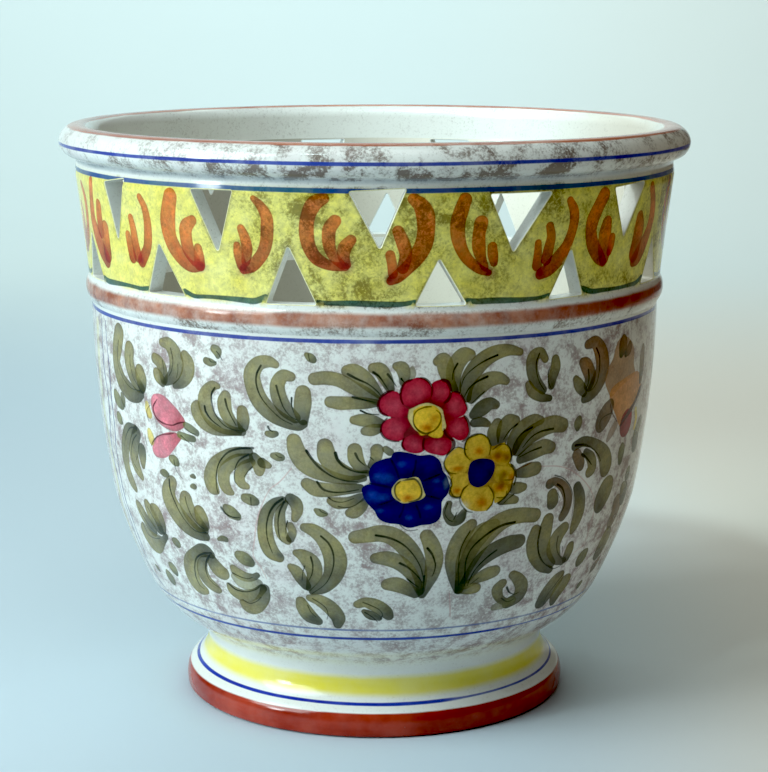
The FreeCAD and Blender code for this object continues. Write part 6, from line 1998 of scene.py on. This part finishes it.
rim.data.materials.append(glaze("rim_glaze", [
    dict(at=section_at(RIM_OUT, 120.0, 214.5), half=0.63, soft=0.3, waver=0.3, swell=0.14, thin=0.82, **COBALT),
    dict(at=section_at(RIM_OUT, 113.3, 220.75), half=3.3, soft=0.9, waver=0.8, swell=0.5, thin=0.84, full=0.98,
         a=srgb(152, 72, 44), b=srgb(176, 98, 64)),
    # painted shade: a soft blue-grey band on the neck under the rolled rim, where the overhang shades it
    dict(at=section_at(RIM_OUT, 114.1, 208.2), half=1.1, soft=1.3, waver=0.2, thin=0.3, full=0.6, a=srgb(138, 150, 158), b=srgb(160, 170, 176)),
], sponge=srgb(144, 130, 124), sponge_deep=0.72, sponge_size=105.0))
rib.data.materials.append(glaze("rib_glaze", [
    dict(at=place_on(RIB_OUT, 160.6), half=2.5, soft=1.9, waver=0.7, swell=0.7, thin=0.66, full=0.98, scale=130.0, thin_scale=150.0,
         a=srgb(144, 76, 54), b=srgb(196, 138, 114)),
    dict(at=place_on(RIB_OUT, 160.8), half=2.3, soft=1.2, waver=0.5, swell=0.5, thin=0.7, full=0.95, scale=60.0, since=0.066,
         a=srgb(128, 34, 22), b=srgb(150, 56, 38)),
], sponge=srgb(142, 126, 116), sponge_deep=0.75, sponge_size=105.0))
bowl.data.materials.append(glaze("bowl_glaze", [
    dict(at=place_on(BOWL_OUT, 153.3), half=0.68, soft=0.3, waver=0.35, swell=0.12, thin=0.82, **COBALT),
    dict(at=place_on(BOWL_OUT, 45.4), half=0.44, soft=0.3, waver=0.5, swell=0.14, thin=0.55, full=0.85,
         a=srgb(86, 104, 160), b=srgb(112, 126, 170)),
    dict(at=place_on(BOWL_OUT, 41.5), half=0.42, soft=0.3, waver=0.4, swell=0.14, thin=0.7, a=srgb(64, 82, 160), b=srgb(88, 106, 176)),
    dict(at=place_on(BOWL_OUT, 41.5), half=0.72, soft=0.3, waver=0.4, swell=0.16, thin=0.85, until=0.048, **COBALT),
], veil=(0.25, 0.71, 0.72)))
gallery.data.materials.append(glaze("gallery_glaze", [
    dict(at=place_on(GALLERY_OUT, 204.9), half=0.8, soft=0.3, waver=0.3, swell=0.16, thin=0.85, a=srgb(46, 74, 150), b=srgb(44, 100, 124)),
], sponge=srgb(132, 122, 96), sponge_over=0.8, sponge_deep=0.74, sponge_size=110.0))
foot.data.materials.append(glaze("foot_glaze", [
    dict(at=place_on(FOOT_OUT, 17.3), half=3.4, soft=3.2, waver=0.6, swell=0.6, thin=0.86, full=0.98,
         a=srgb(236, 222, 76), b=srgb(240, 230, 116)),
    dict(at=place_on(FOOT_OUT, 11.6), half=0.42, soft=0.3, waver=0.3, swell=0.12, thin=0.75, a=srgb(64, 80, 166), b=srgb(84, 104, 186)),
    dict(at=place_on(FOOT_OUT, 11.6), half=0.72, soft=0.3, waver=0.3, swell=0.16, thin=0.9, until=0.030, a=srgb(32, 42, 152), b=srgb(50, 70, 176)),
    dict(at=place_on(FOOT_OUT, 4.0), half=5.2, soft=0.7, waver=0.5, swell=0.3, thin=0.975, full=1.0, scale=50.0,
         a=srgb(140, 42, 30), b=srgb(172, 68, 52)),
]))

for piece, node, slot in ((rim, "rim", "rim_glaze"), (rib, "shoulder_rib", "rib_glaze"), (bowl, "bowl", "bowl_glaze"),
                          (gallery, "pierced_gallery", "gallery_glaze"), (foot, "foot_ring", "foot_glaze")):
    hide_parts(node)
    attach(piece, "root")

# --------------------------------------------------------------------- stage
def sweep():
    """A pale seamless table that turns up behind the pot, with painted light and shade in its colour."""
    prof = [(-3.0, 0.0), (-1.0, 0.0), (0.6, 0.0), (1.2, 0.0)]
    for k in range(1, 17):
        a = k / 16 * math.pi / 2
        prof.append((1.2 + 0.9 * math.sin(a), 0.9 - 0.9 * math.cos(a)))
    prof += [(2.1, 2.0), (2.1, 4.0)]
    v, f = [], []
    for y, z in prof:
        v += [(-3.0, y, z - 0.0003), (3.0 if y < 0.9 else 0.6, y, z - 0.0003)]
    for i in range(len(prof) - 1):
        f.append((2 * i, 2 * i + 1, 2 * i + 3, 2 * i + 2))
    me = bpy.data.meshes.new("table_sweep")
    me.from_pydata(v, [], f)
    for p in me.polygons:
        p.use_smooth = True
    ob = bpy.data.objects.new("table_sweep", me)
    bpy.context.scene.collection.objects.link(ob)
    m = Nodes("paper")
    m.place = m.new("ShaderNodeTexCoord").outputs["Object"]
    split = m.new("ShaderNodeSeparateXYZ")
    m.put(split.inputs[0], m.place)
    mottle = m.noise(3.0, 3.0)
    table = m.mix(mottle, srgb(198, 216, 227), srgb(203, 219, 230))
    # painted shade: the table darker and bluer towards the left
    table = m.mix(m.ramp(split.outputs[0], -0.12, -0.5), table, srgb(174, 192, 203))
    # painted light: the table lighter and warmer towards the right, where the pot's shadow falls
    table = m.mix(m.ramp(split.outputs[0], 0.03, 0.2), table, srgb(222, 214, 203))
    back = m.mix(mottle, srgb(202, 214, 217), srgb(207, 218, 221))
    # painted light: the backdrop less blue towards the right, as under a warmer light
    back = m.mix(m.ramp(split.outputs[0], 0.0, 0.4), back, srgb(208, 214, 214))
    col = m.mix(m.ramp(split.outputs[1], 0.5, 1.3), table, back)
    # a darker patch beyond 0.6 m to the right, which holds back light bounced onto the pot's shaded side
    col = m.mix(m.ramp(split.outputs[0], 0.6, 0.8), col, srgb(168, 165, 160))
    b = m.new("ShaderNodeBsdfPrincipled")
    m.put(b.inputs["Base Color"], col)
    b.inputs["Roughness"].default_value = 0.75
    out = m.new("ShaderNodeOutputMaterial")
    m.put(out.inputs[0], b.outputs[0])
    me.materials.append(m.mat)


sweep()


def lamp(name, at, aim, size, power, colour):
    li = bpy.data.lights.new(name, "AREA")
    li.shape = "RECTANGLE"
    li.size, li.size_y = size
    li.energy = power
    li.color = colour
    ob = bpy.data.objects.new(name, li)
    bpy.context.scene.collection.objects.link(ob)
    d = Vector(aim) - Vector(at)
    ob.matrix_world = Matrix.Translation(at) @ d.to_track_quat("-Z", "Y").to_matrix().to_4x4()
    return ob


lamp("key", (-1.1, -0.6, 0.9), (0.0, 0.0, 0.1), (0.95, 0.85), 17.9, (0.82, 0.97, 1.0))
lamp("above", (-0.05, -0.6, 1.5), (0.0, -0.35, 0.0), (0.9, 0.9), 4.7, (0.88, 0.98, 1.0))
lamp("low", (-0.95, -0.55, 0.36), (0.0, 0.0, 0.04), (0.17, 0.2), 2.2, (0.84, 0.97, 1.0))
lamp("wall", (-0.1, 1.25, 1.7), (-0.1, 2.1, 0.75), (1.5, 0.5), 26.0, (0.84, 0.99, 0.97))


def into_the_mouth():
    """A narrow soft lamp from above that fills the far inside of the pot."""
    li = bpy.data.lights.new("mouth", "SPOT")
    li.energy = 42.0
    li.color = (0.7, 0.96, 1.0)
    li.spot_size, li.spot_blend = math.radians(11.0), 0.8
    li.shadow_soft_size = 0.1
    ob = bpy.data.objects.new("mouth", li)
    bpy.context.scene.collection.objects.link(ob)
    at, aim = Vector((-0.4, -0.75, 1.35)), Vector((0.05, 0.09, 0.2))
    ob.matrix_world = Matrix.Translation(at) @ (aim - at).to_track_quat("-Z", "Y").to_matrix().to_4x4()


into_the_mouth()

world = bpy.data.worlds.new("room")
bpy.context.scene.world = world
world.use_nodes = True
bg = world.node_tree.nodes.get("Background") or world.node_tree.nodes.new("ShaderNodeBackground")
bg.inputs[0].default_value = (1.0, 0.94, 0.84, 1.0)
bg.inputs[1].default_value = 0.14
wo = world.node_tree.nodes.get("World Output") or world.node_tree.nodes.new("ShaderNodeOutputWorld")
world.node_tree.links.new(bg.outputs[0], wo.inputs[0])

# -------------------------------------------------------------------- camera
cam = bpy.data.cameras.new("camera")
cam.sensor_fit = "HORIZONTAL"
cam.sensor_width = 36.0
cam.lens = 2144.6 / 768.0 * 36.0
cam.clip_start, cam.clip_end = 0.05, 50.0
cob = bpy.data.objects.new("camera", cam)
bpy.context.scene.collection.objects.link(cob)
pitch, roll = 0.186550, 0.0020
right, up = Vector((1, 0, 0)), Vector((0, math.sin(pitch), math.cos(pitch)))
fwd = Vector((0, math.cos(pitch), -math.sin(pitch)))
r2 = right * math.cos(roll) + up * math.sin(roll)
u2 = up * math.cos(roll) - right * math.sin(roll)
m4 = Matrix((r2, u2, -fwd)).transposed().to_4x4()
cob.matrix_world = Matrix.Translation((0.00365, -0.823715, 0.273147)) @ m4
bpy.context.scene.camera = cob
view = bpy.context.scene.view_settings
view.view_transform = "Standard"
view.use_curve_mapping = True
view.curve_mapping.black_level = (0.026, 0.028, 0.03)
view.curve_mapping.white_level = (0.93, 0.93, 0.94)
view.curve_mapping.update()
